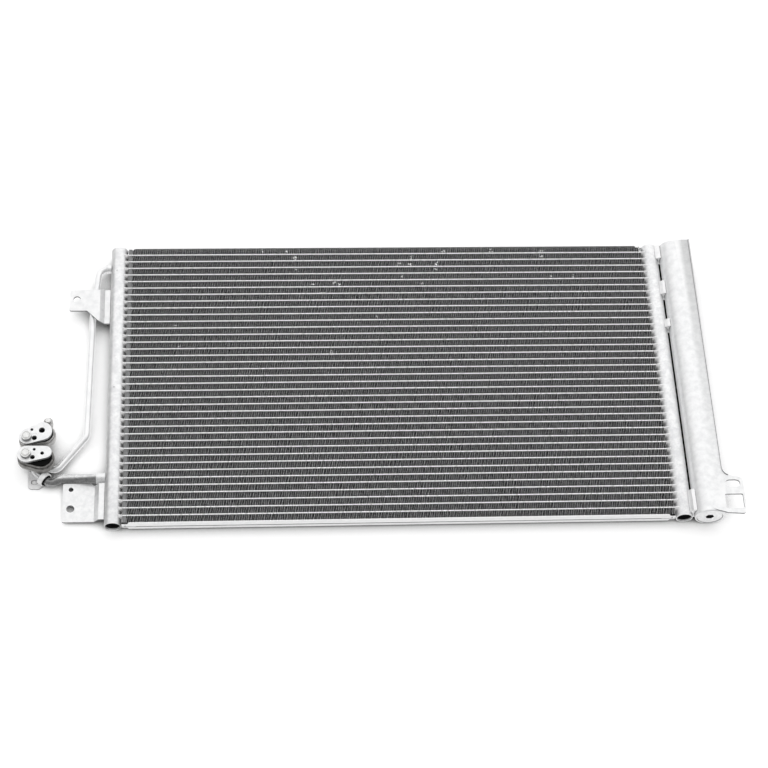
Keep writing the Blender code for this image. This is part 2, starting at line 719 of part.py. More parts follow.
def flange_outline():
    """Plan of the flange and its foot in (x, y), anticlockwise from the crown's lower end."""
    edge = FLANGE_EDGE_X
    foot = FOOT_EDGE_X
    shoulder = FOOT_SHOULDER_Y
    return rounded_outline(
        [
            (RECEIVER_X, RECEIVER_BOTTOM + FOOT_BLEND_START / 2, 0),
            (edge, FOOT_BOTTOM + FOOT_CLIP_HEIGHT, FOOT_CLIP_RADIUS),
            (foot - FOOT_TOE_WIDTH, FOOT_BOTTOM, FOOT_CORNER_RADIUS),
            (foot, FOOT_BOTTOM + FOOT_TOE_HEIGHT, FOOT_TOE_RADIUS),
            (foot, shoulder, FOOT_CORNER_RADIUS),
            (foot - FOOT_SHOULDER_WIDTH, shoulder + FOOT_SHOULDER_HEIGHT, FOOT_CORNER_RADIUS),
            (edge, shoulder + FOOT_BLEND_START, FOOT_BLEND_RADIUS),
            (edge, RECEIVER_TOP, 0),
            (RECEIVER_X, RECEIVER_TOP, 0),
        ],
        0.0,
    )


def lip_outline():
    """Plan of the raised edge that stiffens the flange down to its foot."""
    edge = FLANGE_EDGE_X
    blend = FOOT_BLEND_RADIUS
    centre = (edge + blend, FOOT_SHOULDER_Y + FOOT_BLEND_START + blend * 0.9)
    outer_side = arc(centre, blend, 250, 180, 5)
    inner_side = arc(centre, blend + FLANGE_LIP_WIDTH, 180, 250, 5)
    return [(edge - FLANGE_LIP_WIDTH, RECEIVER_TOP), *inner_side, *outer_side, (edge, RECEIVER_TOP)]


def window_outline():
    """Plan of the square window in the foot."""
    right = FOOT_EDGE_X - FOOT_WINDOW_MARGIN
    left = right - FOOT_WINDOW_WIDTH
    bottom = FOOT_WINDOW_Y - FOOT_WINDOW_HEIGHT / 2
    top = FOOT_WINDOW_Y + FOOT_WINDOW_HEIGHT / 2
    corners = [(left, bottom), (right, bottom), (right, top), (left, top)]
    return rounded_outline(corners, FOOT_WINDOW_CORNER, 3)


def build_receiver():
    radius = RECEIVER_RADIUS
    bottom = RECEIVER_BOTTOM
    chamfer = RECEIVER_CHAMFER
    profile = [(0, RECEIVER_TOP), (radius - chamfer, RECEIVER_TOP), (radius, RECEIVER_TOP - chamfer)]
    profile += [(radius, bottom + chamfer), (radius - chamfer, bottom), (0, bottom)]
    # the profile's height runs along Y
    turn = (-math.pi / 2, 0, 0)
    body = turned("receiver_body", profile, RECEIVER_SIDES, (RECEIVER_X, 0, RECEIVER_HEIGHT), turn)
    slot_x = FOOT_EDGE_X - FOOT_SLOT_MARGIN - FOOT_SLOT_LENGTH / 2
    slot = slot_outline((slot_x, FOOT_SLOT_Y), FOOT_SLOT_LENGTH, FOOT_SLOT_WIDTH)
    low = FLANGE_TOP - FLANGE_THICKNESS
    holes = [slot, window_outline()]
    flange = prism("flange", flange_outline(), low, FLANGE_TOP, "Z", holes, CUTTERS)
    lip_top = FLANGE_TOP + FLANGE_LIP_HEIGHT
    lip = prism("lip", lip_outline(), low + WELD_DEPTH, lip_top, collection=CUTTERS)
    bore = round_bar("receiver_bore", RECEIVER_BORE, bottom - SEAM, RECEIVER_TOP + SEAM, "Y",
                     (RECEIVER_X, RECEIVER_HEIGHT), RECEIVER_BORE_SIDES)
    join(body, flange, lip)
    cut(body, bore)
    for name in ("outlet_bridge", "inlet_bridge"):
        cut(body, passage(BRIDGE_LENGTHS[name][0]))
    finish(body, SHEET_METAL)
    for name in BRIDGE_LENGTHS:
        bridge(name)
    build_receiver_inside()


def along_receiver(name, radius, low, high, material):
    """A round piece on the receiver's axis."""
    centre = (RECEIVER_X, RECEIVER_HEIGHT)
    piece = round_bar(name, radius, low, high, "Y", centre, RECEIVER_BORE_SIDES, PART)
    return finish(piece, material)


def build_receiver_inside():
    """Closure discs, threaded plug with its seal, filter and desiccant bag."""
    fit = RECEIVER_BORE - SEAM
    cap_top = RECEIVER_TOP - PLUG_RECESS
    along_receiver("receiver_top_cap", fit, cap_top - RECEIVER_CAP_THICKNESS, cap_top, CAST_METAL)
    face = RECEIVER_BOTTOM + PLUG_RECESS
    back = face + PLUG_LENGTH
    groove = face + PLUG_LENGTH / 2
    floor = fit - SEAL_DEPTH
    profile = [(0, back), (fit, back), (fit, groove + SEAL_WIDTH / 2), (floor, groove + SEAL_WIDTH / 2)]
    profile += [(floor, groove - SEAL_WIDTH / 2), (fit, groove - SEAL_WIDTH / 2), (fit, face + SEAM)]
    profile += [(fit - SEAM, face), (0, face)]
    axis = (RECEIVER_X, 0, RECEIVER_HEIGHT)
    turn = (-math.pi / 2, 0, 0)
    plug = turned("receiver_plug", profile, RECEIVER_BORE_SIDES, axis, turn)
    socket = round_bar("hex_socket", PLUG_SOCKET_RADIUS, face - SEAM, face + PLUG_SOCKET_DEPTH, "Y",
                       (RECEIVER_X, RECEIVER_HEIGHT), 6)
    cut(plug, socket)
    finish(plug, CAST_METAL)
    half = SEAL_WIDTH / 2 - SEAM / 2
    inner = floor + SEAM / 2
    ring = [(inner, groove + half), (fit, groove + half), (fit, groove - half), (inner, groove - half)]
    ring.append(ring[0])
    seal = turned("plug_seal", ring, RECEIVER_BORE_SIDES, axis, turn)
    finish(seal, RUBBER)
    filter_top = back + SEAM + FILTER_LENGTH
    along_receiver("receiver_filter", fit, back + SEAM, filter_top, FILTER_PLASTIC)
    bag_low = filter_top + SEAM
    along_receiver("desiccant_bag", fit, bag_low, bag_low + BAG_LENGTH, DESICCANT)


def bent_sheet(name, outline, holes, plate_height):
    """A sheet bracket: a plate, a ramp and a strip on the header, cut to its plan outline."""
    strip = BRACKET_STRIP_HEIGHT
    far = BRACKET_OUTER_X - BRACKET_THICKNESS
    top = [(far, plate_height), (RAMP_END_X, plate_height), (STRIP_END_X, strip), (SEAT_X, strip)]
    bottom = [(x, z - BRACKET_THICKNESS) for x, z in reversed(top)]
    ys = [y for _, y in outline]
    reach = BRACKET_THICKNESS
    sheet = prism(name, top + bottom, min(ys) - reach, max(ys) + reach, "Y")
    plan = prism("plan", outline, 0, plate_height + strip, "Z", holes, CUTTERS)
    combine(sheet, plan, "INTERSECT")
    return finish(sheet, SHEET_METAL)


def bracket_hole(hole, radius, sides):
    """A round hole placed from the bracket's outer edge."""
    return circle((BRACKET_OUTER_X + hole[0], hole[1]), radius, sides)


def build_brackets():
    beyond = SEAT_X + BRACKET_THICKNESS
    outer = BRACKET_OUTER_X
    ear = UPPER_BRACKET_TOP + UPPER_BRACKET_EAR
    r = BRACKET_CORNER_RADIUS
    upper = rounded_outline(
        [
            (outer, UPPER_BRACKET_TAB_BOTTOM, r),
            (outer + UPPER_BRACKET_TAB_WIDTH, UPPER_BRACKET_TAB_BOTTOM, r),
            (RAMP_END_X - BRACKET_EDGE_STEP, UPPER_BRACKET_BOTTOM, UPPER_BRACKET_KNEE_RADIUS),
            (beyond, UPPER_BRACKET_BOTTOM, 0),
            (beyond, ear, 0),
            (STRIP_END_X - 2 * BRACKET_EDGE_STEP, ear, r),
            (RAMP_END_X, UPPER_BRACKET_TOP, r),
            (outer, UPPER_BRACKET_TOP, r),
        ],
        r,
    )
    hole = bracket_hole(UPPER_BRACKET_HOLE, UPPER_BRACKET_HOLE_RADIUS, 20)
    bent_sheet("upper_left_bracket", upper, [hole], UPPER_BRACKET_HEIGHT)
    notch = LOWER_PIPE_Y - LOWER_PIPE_RADIUS - FERRULE_WALL - 2 * SEAM
    notch_end = RAMP_END_X - LOWER_BRACKET_NOTCH_WIDTH
    lower = rounded_outline(
        [
            (outer, LOWER_BRACKET_BOTTOM, r),
            (beyond, LOWER_BRACKET_BOTTOM, 0),
            (beyond, notch, 0),
            (RAMP_END_X - BRACKET_EDGE_STEP, notch, LOWER_BRACKET_NOTCH_RADIUS),
            (notch_end, LOWER_BRACKET_TOP, LOWER_BRACKET_NOTCH_RADIUS),
            (outer, LOWER_BRACKET_TOP, r),
        ],
        r,
    )
    holes = [bracket_hole(LOWER_BRACKET_HOLE, LOWER_BRACKET_HOLE_RADIUS, 20)]
    holes.append(bracket_hole(LOWER_BRACKET_SMALL_HOLE, LOWER_BRACKET_SMALL_HOLE_RADIUS, 16))
    bent_sheet("lower_left_bracket", lower, holes, LOWER_BRACKET_HEIGHT)


def ferrule(name, y, z, pipe_radius, length):
    """The brazed ring where a pipe enters the header, saddled to the header."""
    outer = pipe_radius + FERRULE_WALL
    start = LEFT_SURFACE_X - length
    ring = round_bar(name, outer, start, -HALF_SPAN, "X", (y, z), PIPE_HOLE_SIDES, PART)
    header = round_bar("header_side", HEADER_RADIUS + SEAM, y - length * 2, y + length * 2, "Y",
                       (-HALF_SPAN, HEADER_HEIGHT), HEADER_SIDES)
    inner = pipe_radius + SEAM
    hole = round_bar("pipe_hole", inner, start - SEAM, -HALF_SPAN + SEAM, "X", (y, z), PIPE_HOLE_SIDES)
    cut(ring, header, hole)
    return finish(ring, CAST_METAL)


def neck_entry(neck, last_bend):
    """Where a pipe ends inside a fitting's neck, coming from its last bend."""
    corner = Vector(outward(last_bend))
    centre = Vector((*outward(neck), corner.z))
    return centre + (corner - centre).normalized() * (FITTING_NECK_RADIUS / 2)


def build_pipes():
    start_x = LEFT_SURFACE_X + PIPE_INSERTION
    upper_end = neck_entry(LOWER_NECK, UPPER_PIPE_BENDS[-1][0])
    lower_end = neck_entry(UPPER_NECK, LOWER_PIPE_BENDS[-1][0])
    lower_z = LOWER_PIPE_BENDS[0][0][2]
    upper_path = rounded_path((start_x, UPPER_PIPE_Y, HEADER_HEIGHT), UPPER_PIPE_BENDS, upper_end)
    lower_path = rounded_path((start_x, LOWER_PIPE_Y, lower_z), LOWER_PIPE_BENDS, lower_end)
    pipe("upper_pipe", upper_path, UPPER_PIPE_RADIUS, PIPE_METAL)
    pipe("lower_pipe", lower_path, LOWER_PIPE_RADIUS, PIPE_METAL)
    ferrule("upper_pipe_ferrule", UPPER_PIPE_Y, HEADER_HEIGHT, UPPER_PIPE_RADIUS, UPPER_FERRULE_LENGTH)
    ferrule("lower_pipe_ferrule", LOWER_PIPE_Y, lower_z, LOWER_PIPE_RADIUS, LOWER_FERRULE_LENGTH)


def pipe_socket(neck, last_bend, radius):
    """Cutter for the hole in a neck that its pipe is brazed into."""
    end = neck_entry(neck, last_bend)
    heading = (Vector(outward(last_bend)) - end).normalized()
    length = FITTING_NECK_RADIUS * 1.5
    bar = round_bar("pipe_socket", radius + SEAM, -length / 2, length / 2, "Z", (0, 0), 12)
    bar.location = end + heading * (length / 2 - SEAM)
    bar.rotation_euler = heading.to_track_quat("Z", "Y").to_euler()
    return bar


def cover_screw(word, middle, bottom):
    """The round-headed screw through a cover, on its (x, y) middle."""
    head = COVER_HEIGHT + SEAM
    top = head + SCREW_HEAD_HEIGHT
    rounding = SCREW_HEAD_HEIGHT / 5
    profile = [(0, top), (SCREW_HEAD_RADIUS - rounding, top), (SCREW_HEAD_RADIUS, top - rounding)]
    profile += [(SCREW_HEAD_RADIUS, head), (SCREW_SHANK_RADIUS, head)]
    profile += [(SCREW_SHANK_RADIUS, bottom), (0, bottom)]
    finish(turned(f"{word}_cover_screw", profile, 16, (*middle, 0), (0, 0, 0)), STEEL)


def fitting(word, lobes, cover_lobes, cover_holes, neck, screw, last_bend, pipe_radius):
    """A block fitting with its rubber seal, blanking cover and cover screw."""
    lobes = outward_all(lobes)
    neck_middle = outward(neck)
    screw_middle = outward(screw)
    plan = lobed_outline(lobes)
    block = prism(f"{word}_fitting", plan, FITTING_BASE_HEIGHT, FITTING_SHOULDER_HEIGHT)
    rim = prism("rim", lobed_outline(lobes, -FITTING_RIM_STEP), FITTING_SHOULDER_HEIGHT - SEAM,
                FITTING_RIM_HEIGHT, collection=CUTTERS)
    pocket_floor = FITTING_RIM_HEIGHT - FITTING_POCKET_DEPTH
    inset = -FITTING_RIM_STEP - FITTING_RIM_WALL
    pocket = prism("pocket", lobed_outline(lobes, inset), pocket_floor, FITTING_RIM_HEIGHT + SEAM,
                   collection=CUTTERS)
    neck_bar = round_bar("neck", FITTING_NECK_RADIUS, FITTING_NECK_BOTTOM, FITTING_BASE_HEIGHT + SEAM,
                         "Z", neck_middle, 14)
    port_floor = FITTING_NECK_BOTTOM + FITTING_NECK_RADIUS / 3
    port = round_bar("port", FITTING_PORT_RADIUS, port_floor, FITTING_RIM_HEIGHT, "Z", neck_middle,
                     SMALL_HOLE_SIDES)
    screw_bottom = COVER_HEIGHT + SEAM - SCREW_DEPTH
    screw_hole = round_bar("screw_hole", SCREW_SHANK_RADIUS + SEAM, screw_bottom - SEAM,
                           COVER_HEIGHT + SEAM, "Z", screw_middle, SMALL_HOLE_SIDES)
    join(block, rim, neck_bar)
    cut(block, pocket, port, pipe_socket(neck, last_bend, pipe_radius), screw_hole)
    seal = prism(f"{word}_fitting_seal", lobed_outline(lobes, inset - SEAM), pocket_floor + SEAM,
                 COVER_BOTTOM - SEAM)
    cut(seal, screw_hole)
    finish(seal, RUBBER)
    holes = [circle((x, y), r, SMALL_HOLE_SIDES) for x, y, r in outward_all(cover_holes)]
    cover_plan = lobed_outline(outward_all(cover_lobes))
    cover = prism(f"{word}_fitting_cover", cover_plan, COVER_BOTTOM, COVER_HEIGHT, "Z", holes)
    cut(cover, screw_hole)
    finish(cover, SHEET_METAL)
    cover_screw(word, screw_middle, screw_bottom)
    return block


def build_fittings():
    upper = fitting("upper", UPPER_FITTING_LOBES, UPPER_COVER_LOBES, UPPER_COVER_HOLES, UPPER_NECK,
                    UPPER_SCREW, LOWER_PIPE_BENDS[-1][0], LOWER_PIPE_RADIUS)
    lower = fitting("lower", LOWER_FITTING_LOBES, LOWER_COVER_LOBES, LOWER_COVER_HOLES, LOWER_NECK,
                    LOWER_SCREW, UPPER_PIPE_BENDS[-1][0], UPPER_PIPE_RADIUS)
    finish(lower, CAST_METAL)
    x, y, radius = outward(LUG_LOBE)
    tail = (x, y - radius * 2, radius * 0.9)
    lug_bottom = LUG_TOP - LUG_THICKNESS
    lug = prism("lug", lobed_outline(((x, y, radius), tail)), lug_bottom, LUG_TOP, collection=CUTTERS)
    shank_sides = 12
    hole_radius = LUG_BOLT_SHANK_RADIUS + SEAM
    hole = round_bar("lug_hole", hole_radius, 0, LUG_TOP + SEAM, "Z", (x, y), shank_sides)
    join(upper, lug)
    cut(upper, hole)
    finish(upper, CAST_METAL)
    low = LUG_TOP + SEAM
    bolt = round_bar("lug_bolt", LUG_BOLT_RADIUS, low, low + LUG_BOLT_HEAD, "Z", (x, y), 6, PART)
    shank = round_bar("shank", LUG_BOLT_SHANK_RADIUS, low - LUG_THICKNESS, low + SEAM, "Z", (x, y),
                      shank_sides)
    join(bolt, shank)
    finish(bolt, STEEL)


def ring_profile(outer, inner, half):
    """The closed profile of a plain ring."""
    return [(outer, half), (outer, -half), (inner, -half), (inner, half), (outer, half)]


def build_clamp():
    """The cushioned clamp on the lower pipe's bend, with its slotted tab on the bench."""
    corner = Vector(outward(LOWER_PIPE_BENDS[-2][0]))
    heading = (Vector(outward(LOWER_PIPE_BENDS[-1][0])) - corner).normalized()
    middle = corner + heading * CLAMP_DISTANCE
    liner_inner = LOWER_PIPE_RADIUS + SEAM
    liner_outer = liner_inner + CLAMP_LINER_WALL
    band_inner = liner_outer + SEAM
    band_outer = band_inner + CLAMP_BAND_WALL
    turn = heading.to_track_quat("Z", "Y").to_euler()
    profile = ring_profile(liner_outer, liner_inner, CLAMP_LINER_WIDTH / 2)
    finish(turned("clamp_liner", profile, CLAMP_SIDES, middle, turn), RUBBER)
    half = CLAMP_BAND_WIDTH / 2
    profile = ring_profile(band_outer, band_inner, half)
    band = turned("pipe_clamp", profile, CLAMP_SIDES, middle, turn)
    x, y = outward(CLAMP_SLOT)
    along = heading * half
    across = Vector((heading.y, -heading.x, 0)) * half
    heel = middle - along + across
    toe = middle + along + across
    left = x - CLAMP_TAB_OUTER
    right = x + CLAMP_TAB_INNER
    back = y + CLAMP_TAB_BACK
    front = y - CLAMP_TAB_FRONT
    small = CLAMP_CORNER_RADIUS
    outline = rounded_outline(
        [
            (left, back, small),
            (left, front, 4 * small),
            (right - CLAMP_TAB_STEP, front - CLAMP_TAB_STEP, 3 * small),
            (heel.x, heel.y, small / 2),
            (toe.x, toe.y, small / 2),
            (right, y + CLAMP_TAB_SHOULDER, small),
            (right, back, small),
        ],
        small,
        3,
    )
    slot = slot_outline((x, y), CLAMP_SLOT_LENGTH, CLAMP_SLOT_WIDTH)
    tab_top = RUN_HEIGHT - liner_outer - SEAM
    join(band, prism("tab", outline, 0, tab_top, "Z", [slot], CUTTERS))
    finish(band, SHEET_METAL)


def centre_on_origin():
    """Move the root so that the origin lies on the bench under the middle of the part."""
    lobes = outward_all((*UPPER_FITTING_LOBES, *LOWER_FITTING_LOBES))
    left = min(lobe[0] - lobe[2] for lobe in lobes)
    back = max(HEADER_HALF_LENGTH, RECEIVER_TOP)
    ROOT.location = (-(left + FOOT_EDGE_X) / 2, -(FOOT_BOTTOM + back) / 2, 0)


build_core()
build_headers()
build_side_plates()
build_receiver()
build_brackets()
build_pipes()
build_fittings()
build_clamp()
centre_on_origin()
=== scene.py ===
"""A parallel flow condenser with its pipes and receiver-drier, finished as in the photograph.

The CAD frame is loaded first and stays fixed; each visible piece is then modelled, finished and tied to
the frame in a section of its own.  Lengths are in metres and angles in degrees.
"""

import math
import random

import bmesh
import bpy
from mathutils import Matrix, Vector


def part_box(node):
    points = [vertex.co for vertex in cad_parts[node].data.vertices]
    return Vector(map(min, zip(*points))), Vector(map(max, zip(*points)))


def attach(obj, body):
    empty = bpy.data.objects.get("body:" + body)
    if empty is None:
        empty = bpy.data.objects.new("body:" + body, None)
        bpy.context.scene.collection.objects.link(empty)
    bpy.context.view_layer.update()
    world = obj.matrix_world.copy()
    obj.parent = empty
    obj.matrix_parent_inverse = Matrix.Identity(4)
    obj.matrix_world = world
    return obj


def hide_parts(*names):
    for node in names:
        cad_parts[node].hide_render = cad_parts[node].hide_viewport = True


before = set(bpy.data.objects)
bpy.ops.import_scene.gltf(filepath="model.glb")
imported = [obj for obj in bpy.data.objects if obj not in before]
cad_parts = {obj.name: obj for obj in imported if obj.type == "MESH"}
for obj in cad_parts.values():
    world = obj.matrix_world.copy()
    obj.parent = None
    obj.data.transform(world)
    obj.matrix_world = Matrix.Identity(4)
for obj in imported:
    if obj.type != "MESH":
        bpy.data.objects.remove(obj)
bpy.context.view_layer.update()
scene = bpy.context.scene

# Camera
# The photograph is taken from in front and above with a long lens.  The place and the turn come from a
# least squares fit of the tube rows, the headers and the fittings.
CAMERA_PLACE = (-0.156165, -1.22876, 2.08899)
CAMERA_TURN = (30.6735, -3.0548, -2.5200)
LENS = 93.4547
SENSOR = 36.0
NEAREST = 0.01

camera_data = bpy.data.cameras.new("camera")
camera_data.lens = LENS
camera_data.sensor_width = SENSOR
camera_data.clip_start = NEAREST
camera = bpy.data.objects.new("camera", camera_data)
camera.location = CAMERA_PLACE
camera.rotation_euler = [math.radians(angle) for angle in CAMERA_TURN]
scene.collection.objects.link(camera)
scene.camera = camera

# Floor and studio light
# A pale bench under a dome that is bright overhead and greyer low down, with a soft box behind and one in
# front.  What the camera sees of the bench is lifted to white, save where the part stands close over it.
FLOOR_SIZE = 9.0
FLOOR_WHITE = 0.80
FLOOR_SEEN = 0.70
FLOOR_LIFT = 0.45
SHADE_SAMPLES = 12
SHADE_REACH = 0.06
UNDER_DARK = 0.2
SHADE_DARK = 0.15
SHADE_CLEAR = 0.64
DOME_POWER = 1.06
DOME_HEIGHT = ((0.0, 0.40), (0.5, 0.42), (0.58, 0.85), (0.66, 1.0), (1.0, 1.0))
DOME_FRONT = ((0.0, 0.42), (0.40, 0.48), (0.54, 0.98), (1.0, 0.98))
DOME_SIDE = ((0.0, 0.45), (0.10, 0.80), (0.22, 1.0), (0.32, 1.0), (0.92, 1.0), (1.0, 0.45))
KEY_SIZE = (2.6, 1.8)
KEY_PLACE = (0.35, 1.35, 2.2)
KEY_POWER = 13.0
FILL_SIZE = (2.6, 1.6)
FILL_PLACE = (-0.5, -1.7, 1.9)
FILL_POWER = 13.0


def only(obj):
    """Select one object and nothing else."""
    bpy.ops.object.select_all(action="DESELECT")
    obj.select_set(True)
    bpy.context.view_layer.objects.active = obj


def soft_box(name, place, size, power):
    """A rectangular area light that faces the middle of the part, and isn't mirrored in it."""
    data = bpy.data.lights.new(name, "AREA")
    data.shape = "RECTANGLE"
    data.size, data.size_y = size
    data.energy = power
    lamp = bpy.data.objects.new(name, data)
    lamp.location = place
    lamp.rotation_euler = (-Vector(place)).to_track_quat("-Z", "Y").to_euler()
    lamp.visible_glossy = False
    scene.collection.objects.link(lamp)


def tree_of(name):
    """A new material with its nodes, and its shader."""
    material = bpy.data.materials.new(name)
    material.use_nodes = True
    return material, material.node_tree, material.node_tree.nodes["Principled BSDF"]


def ramp(tree, value, stops):
    """Map a value to greys or colours through a colour ramp with these (place, colour) stops."""
    band = tree.nodes.new("ShaderNodeValToRGB")
    points = band.color_ramp.elements
    while len(points) < len(stops):
        points.new(0.5)
    for point, (place, colour) in zip(points, stops):
        point.position = place
        point.color = (*colour, 1)
    tree.links.new(value, band.inputs["Fac"])
    return band.outputs["Color"]


def spread(tree, value, low, high, start=0.35, end=0.65):
    """Map a value that runs from start to end onto the range from low to high."""
    scale = tree.nodes.new("ShaderNodeMapRange")
    scale.inputs["From Min"].default_value = start
    scale.inputs["From Max"].default_value = end
    scale.inputs["To Min"].default_value = low
    scale.inputs["To Max"].default_value = high
    tree.links.new(value, scale.inputs["Value"])
    return scale.outputs["Result"]


def larger(tree, first, second):
    """The larger of two values."""
    pick = tree.nodes.new("ShaderNodeMath")
    pick.operation = "MAXIMUM"
    tree.links.new(first, pick.inputs[0])
    tree.links.new(second, pick.inputs[1])
    return pick.outputs["Value"]


def either_shader(tree, factor, first, second):
    """The first shader where the factor is 0, and the second where it is 1."""
    choice = tree.nodes.new("ShaderNodeMixShader")
    tree.links.new(factor, choice.inputs["Fac"])
    tree.links.new(first, choice.inputs[1])
    tree.links.new(second, choice.inputs[2])
    return choice.outputs["Shader"]


def bench_paint():
    """Rough white paint, lifted where seen or mirrored, and shaded for the camera close under the part."""
    material, tree, shader = tree_of("floor_paint")
    shader.inputs["Base Color"].default_value = (FLOOR_WHITE, FLOOR_WHITE, FLOOR_WHITE, 1)
    shader.inputs["Roughness"].default_value = 1.0
    shader.inputs["Specular IOR Level"].default_value = 0.0
    seen_white = tree.nodes.new("ShaderNodeBsdfDiffuse")
    lift = tree.nodes.new("ShaderNodeEmission")
    openness = tree.nodes.new("ShaderNodeAmbientOcclusion")
    openness.samples = SHADE_SAMPLES
    openness.inputs["Distance"].default_value = SHADE_REACH
    rays = tree.nodes.new("ShaderNodeLightPath")
    open_or_mirrored = larger(tree, openness.outputs["AO"], rays.outputs["Is Glossy Ray"])
    glow = spread(tree, open_or_mirrored, 0.0, FLOOR_LIFT, SHADE_DARK, SHADE_CLEAR)
    under = spread(tree, open_or_mirrored, 0.0, FLOOR_SEEN, UNDER_DARK, SHADE_CLEAR)
    tree.links.new(glow, lift.inputs["Strength"])
    tree.links.new(under, seen_white.inputs["Color"])
    both = tree.nodes.new("ShaderNodeAddShader")
    tree.links.new(seen_white.outputs["BSDF"], both.inputs[0])
    tree.links.new(lift.outputs["Emission"], both.inputs[1])
    seen = larger(tree, rays.outputs["Is Camera Ray"], rays.outputs["Is Glossy Ray"])
    lifted = either_shader(tree, seen, shader.outputs["BSDF"], both.outputs["Shader"])
    tree.links.new(lifted, tree.nodes["Material Output"].inputs["Surface"])
    return material


def studio_dome():
    """A dome whose grey changes along each axis, and plain white where the camera looks past the bench."""
    room = bpy.data.worlds.new("room")
    room.use_nodes = True
    tree = room.node_tree
    around = tree.nodes.new("ShaderNodeTexCoord")
    parts = tree.nodes.new("ShaderNodeSeparateXYZ")
    tree.links.new(around.outputs["Generated"], parts.inputs["Vector"])
    dome = None
    for axis, stops in (("Z", DOME_HEIGHT), ("Y", DOME_FRONT), ("X", DOME_SIDE)):
        share = spread(tree, parts.outputs[axis], 0.0, 1.0, -1.0, 1.0)
        greys = ramp(tree, share, [(place, (grey, grey, grey)) for place, grey in stops])
        if dome is None:
            dome = greys
        else:
            product = tree.nodes.new("ShaderNodeVectorMath")
            product.operation = "MULTIPLY"
            tree.links.new(dome, product.inputs[0])
            tree.links.new(greys, product.inputs[1])
            dome = product.outputs["Vector"]
    light = tree.nodes["Background"]
    light.inputs["Strength"].default_value = DOME_POWER
    tree.links.new(dome, light.inputs["Color"])
    white = tree.nodes.new("ShaderNodeBackground")
    white.inputs["Color"].default_value = (1, 1, 1, 1)
    white.inputs["Strength"].default_value = 1.0
    rays = tree.nodes.new("ShaderNodeLightPath")
    seen = rays.outputs["Is Camera Ray"]
    choice = either_shader(tree, seen, light.outputs["Background"], white.outputs["Background"])
    tree.links.new(choice, tree.nodes["World Output"].inputs["Surface"])
    return room


bpy.ops.mesh.primitive_plane_add(size=FLOOR_SIZE)
floor = bpy.context.object
floor.name = "floor"
floor.data.materials.append(bench_paint())
soft_box("key_light", KEY_PLACE, KEY_SIZE, KEY_POWER)
soft_box("fill_light", FILL_PLACE, FILL_SIZE, FILL_POWER)
scene.world = studio_dome()
scene.view_settings.view_transform = "Standard"

# Flat tubes and folded fins
# Extruded multiport aluminium tubes with round noses, and a thin folded strip brazed between each pair.
# A bank is two tubes with the two fin rows above them; it is modelled once and copied down the core.
BANKS = 19
TUBE_HEIGHT = 0.0018
TUBE_DEPTH = 0.016
TUBE_PITCH = 0.0098
TUBE_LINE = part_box("tube_bank_01")[0][1] + TUBE_HEIGHT / 2
NOSE_STEPS = 12
NOSE_SMOOTH = 40
FLAT_FACE = 0.999
SAME_PLACE = 0.00004
FIN_REACH = 0.32265
FIN_SETBACK = 0.0005
FIN_LEG = 0.0013
FIN_CREST = 0.00036
FIN_SHEET = 0.00024
FIN_LEAD = 0.0042
FIN_MERGE = 0.000001
FIN_WANDER = 0.00030
FIN_LEAN = 0.00055
WANDER_WAVES = ((120, 190), (420, 700), (1300, 2100))
WANDER_SHIFT = 2
WANDER_SHARE = 2
LEAN_WAVES = (300, 1100)
LEAN_COUNT = 4
LEAN_SHIFT = 3
LEAN_SHARE = 3
CORE_SEED = 7
LOUVRE_HALF = 0.0006
LOUVRE_DEPTH = 0.0002
# Painted shade: near-black colours for the louvre slots and the fin faces deep in the core, mottled by noise
LOUVRE_SLOT_PAINTED_SHADE = (0.012, 0.012, 0.012)
DUST_AND_SHADE_SCALE = 160
PAINTED_FOIL_SHADES = ((0.3, (0.055, 0.056, 0.057)), (0.7, (0.120, 0.121, 0.123)))
FILLET_SIDES = 16
FILLET_LENGTH = 0.0052
FILLET_HALF = (0.0036, 0.0089)
FILLET_NECK = 0.42
FILLET_FLARE = 0.43
FILLET_SMOOTH = 50

# The finish that every bare metal here shares, with scales in features per metre
CLOUD_STOPS = (0.36, 0.60)
SPECK_STOPS = (0.50, 0.66)
SPECK_ROUGH = 0.65
# Painted shade in seams, where other metal stands close by
SEAM_SAMPLES = 8
SEAM_REACH = 0.0025
SEAM_SHADES = ((0.12, (0.03, 0.03, 0.032)), (0.42, (0.55, 0.55, 0.56)), (0.7, (1, 1, 1)))
SPECK_SCALE = 420
GRAIN_SCALE = 2600
GRAIN_STRETCH = 24
GRAIN_SHARE = 0.22
PIT_SCALE = 5200
RUB_STOPS = (0.52, 0.60)
RUB_SHARE = 0.6
RUB_TINT = 1.06
SHINE_SWING = (-0.08, 0.10)
STAIN_SCALE = 1600
STAIN_RAGGED = 1.4
STAIN_EDGE = (1.2, 1.9)
BAND_SPAN = 0.18


def noise(tree, scale, stretch=(1, 1, 1), detail=4.0, rough=0.55):
    """Noise on the piece's own metres: scale is features per metre, stretch slows it along an axis."""
    where = tree.nodes.new("ShaderNodeTexCoord")
    size = tree.nodes.new("ShaderNodeMapping")
    size.inputs["Scale"].default_value = [scale / s for s in stretch]
    grain = tree.nodes.new("ShaderNodeTexNoise")
    grain.inputs["Scale"].default_value = 1.0
    grain.inputs["Detail"].default_value = detail
    grain.inputs["Roughness"].default_value = rough
    tree.links.new(where.outputs["Object"], size.inputs["Vector"])
    tree.links.new(size.outputs["Vector"], grain.inputs["Vector"])
    return grain.outputs["Fac"]


def blend_colours(tree, factor, first, second, mode="MIX"):
    """Mix two colours, each a node output or a fixed colour, by a node output or a number."""
    mix = tree.nodes.new("ShaderNodeMix")
    mix.data_type = "RGBA"
    mix.blend_type = mode
    for socket, given in ((mix.inputs[0], factor), (mix.inputs[6], first), (mix.inputs[7], second)):
        if isinstance(given, bpy.types.NodeSocket):
            tree.links.new(given, socket)
        elif isinstance(given, (int, float)):
            socket.default_value = given
        else:
            socket.default_value = (*given, 1)
    return mix.outputs[2]


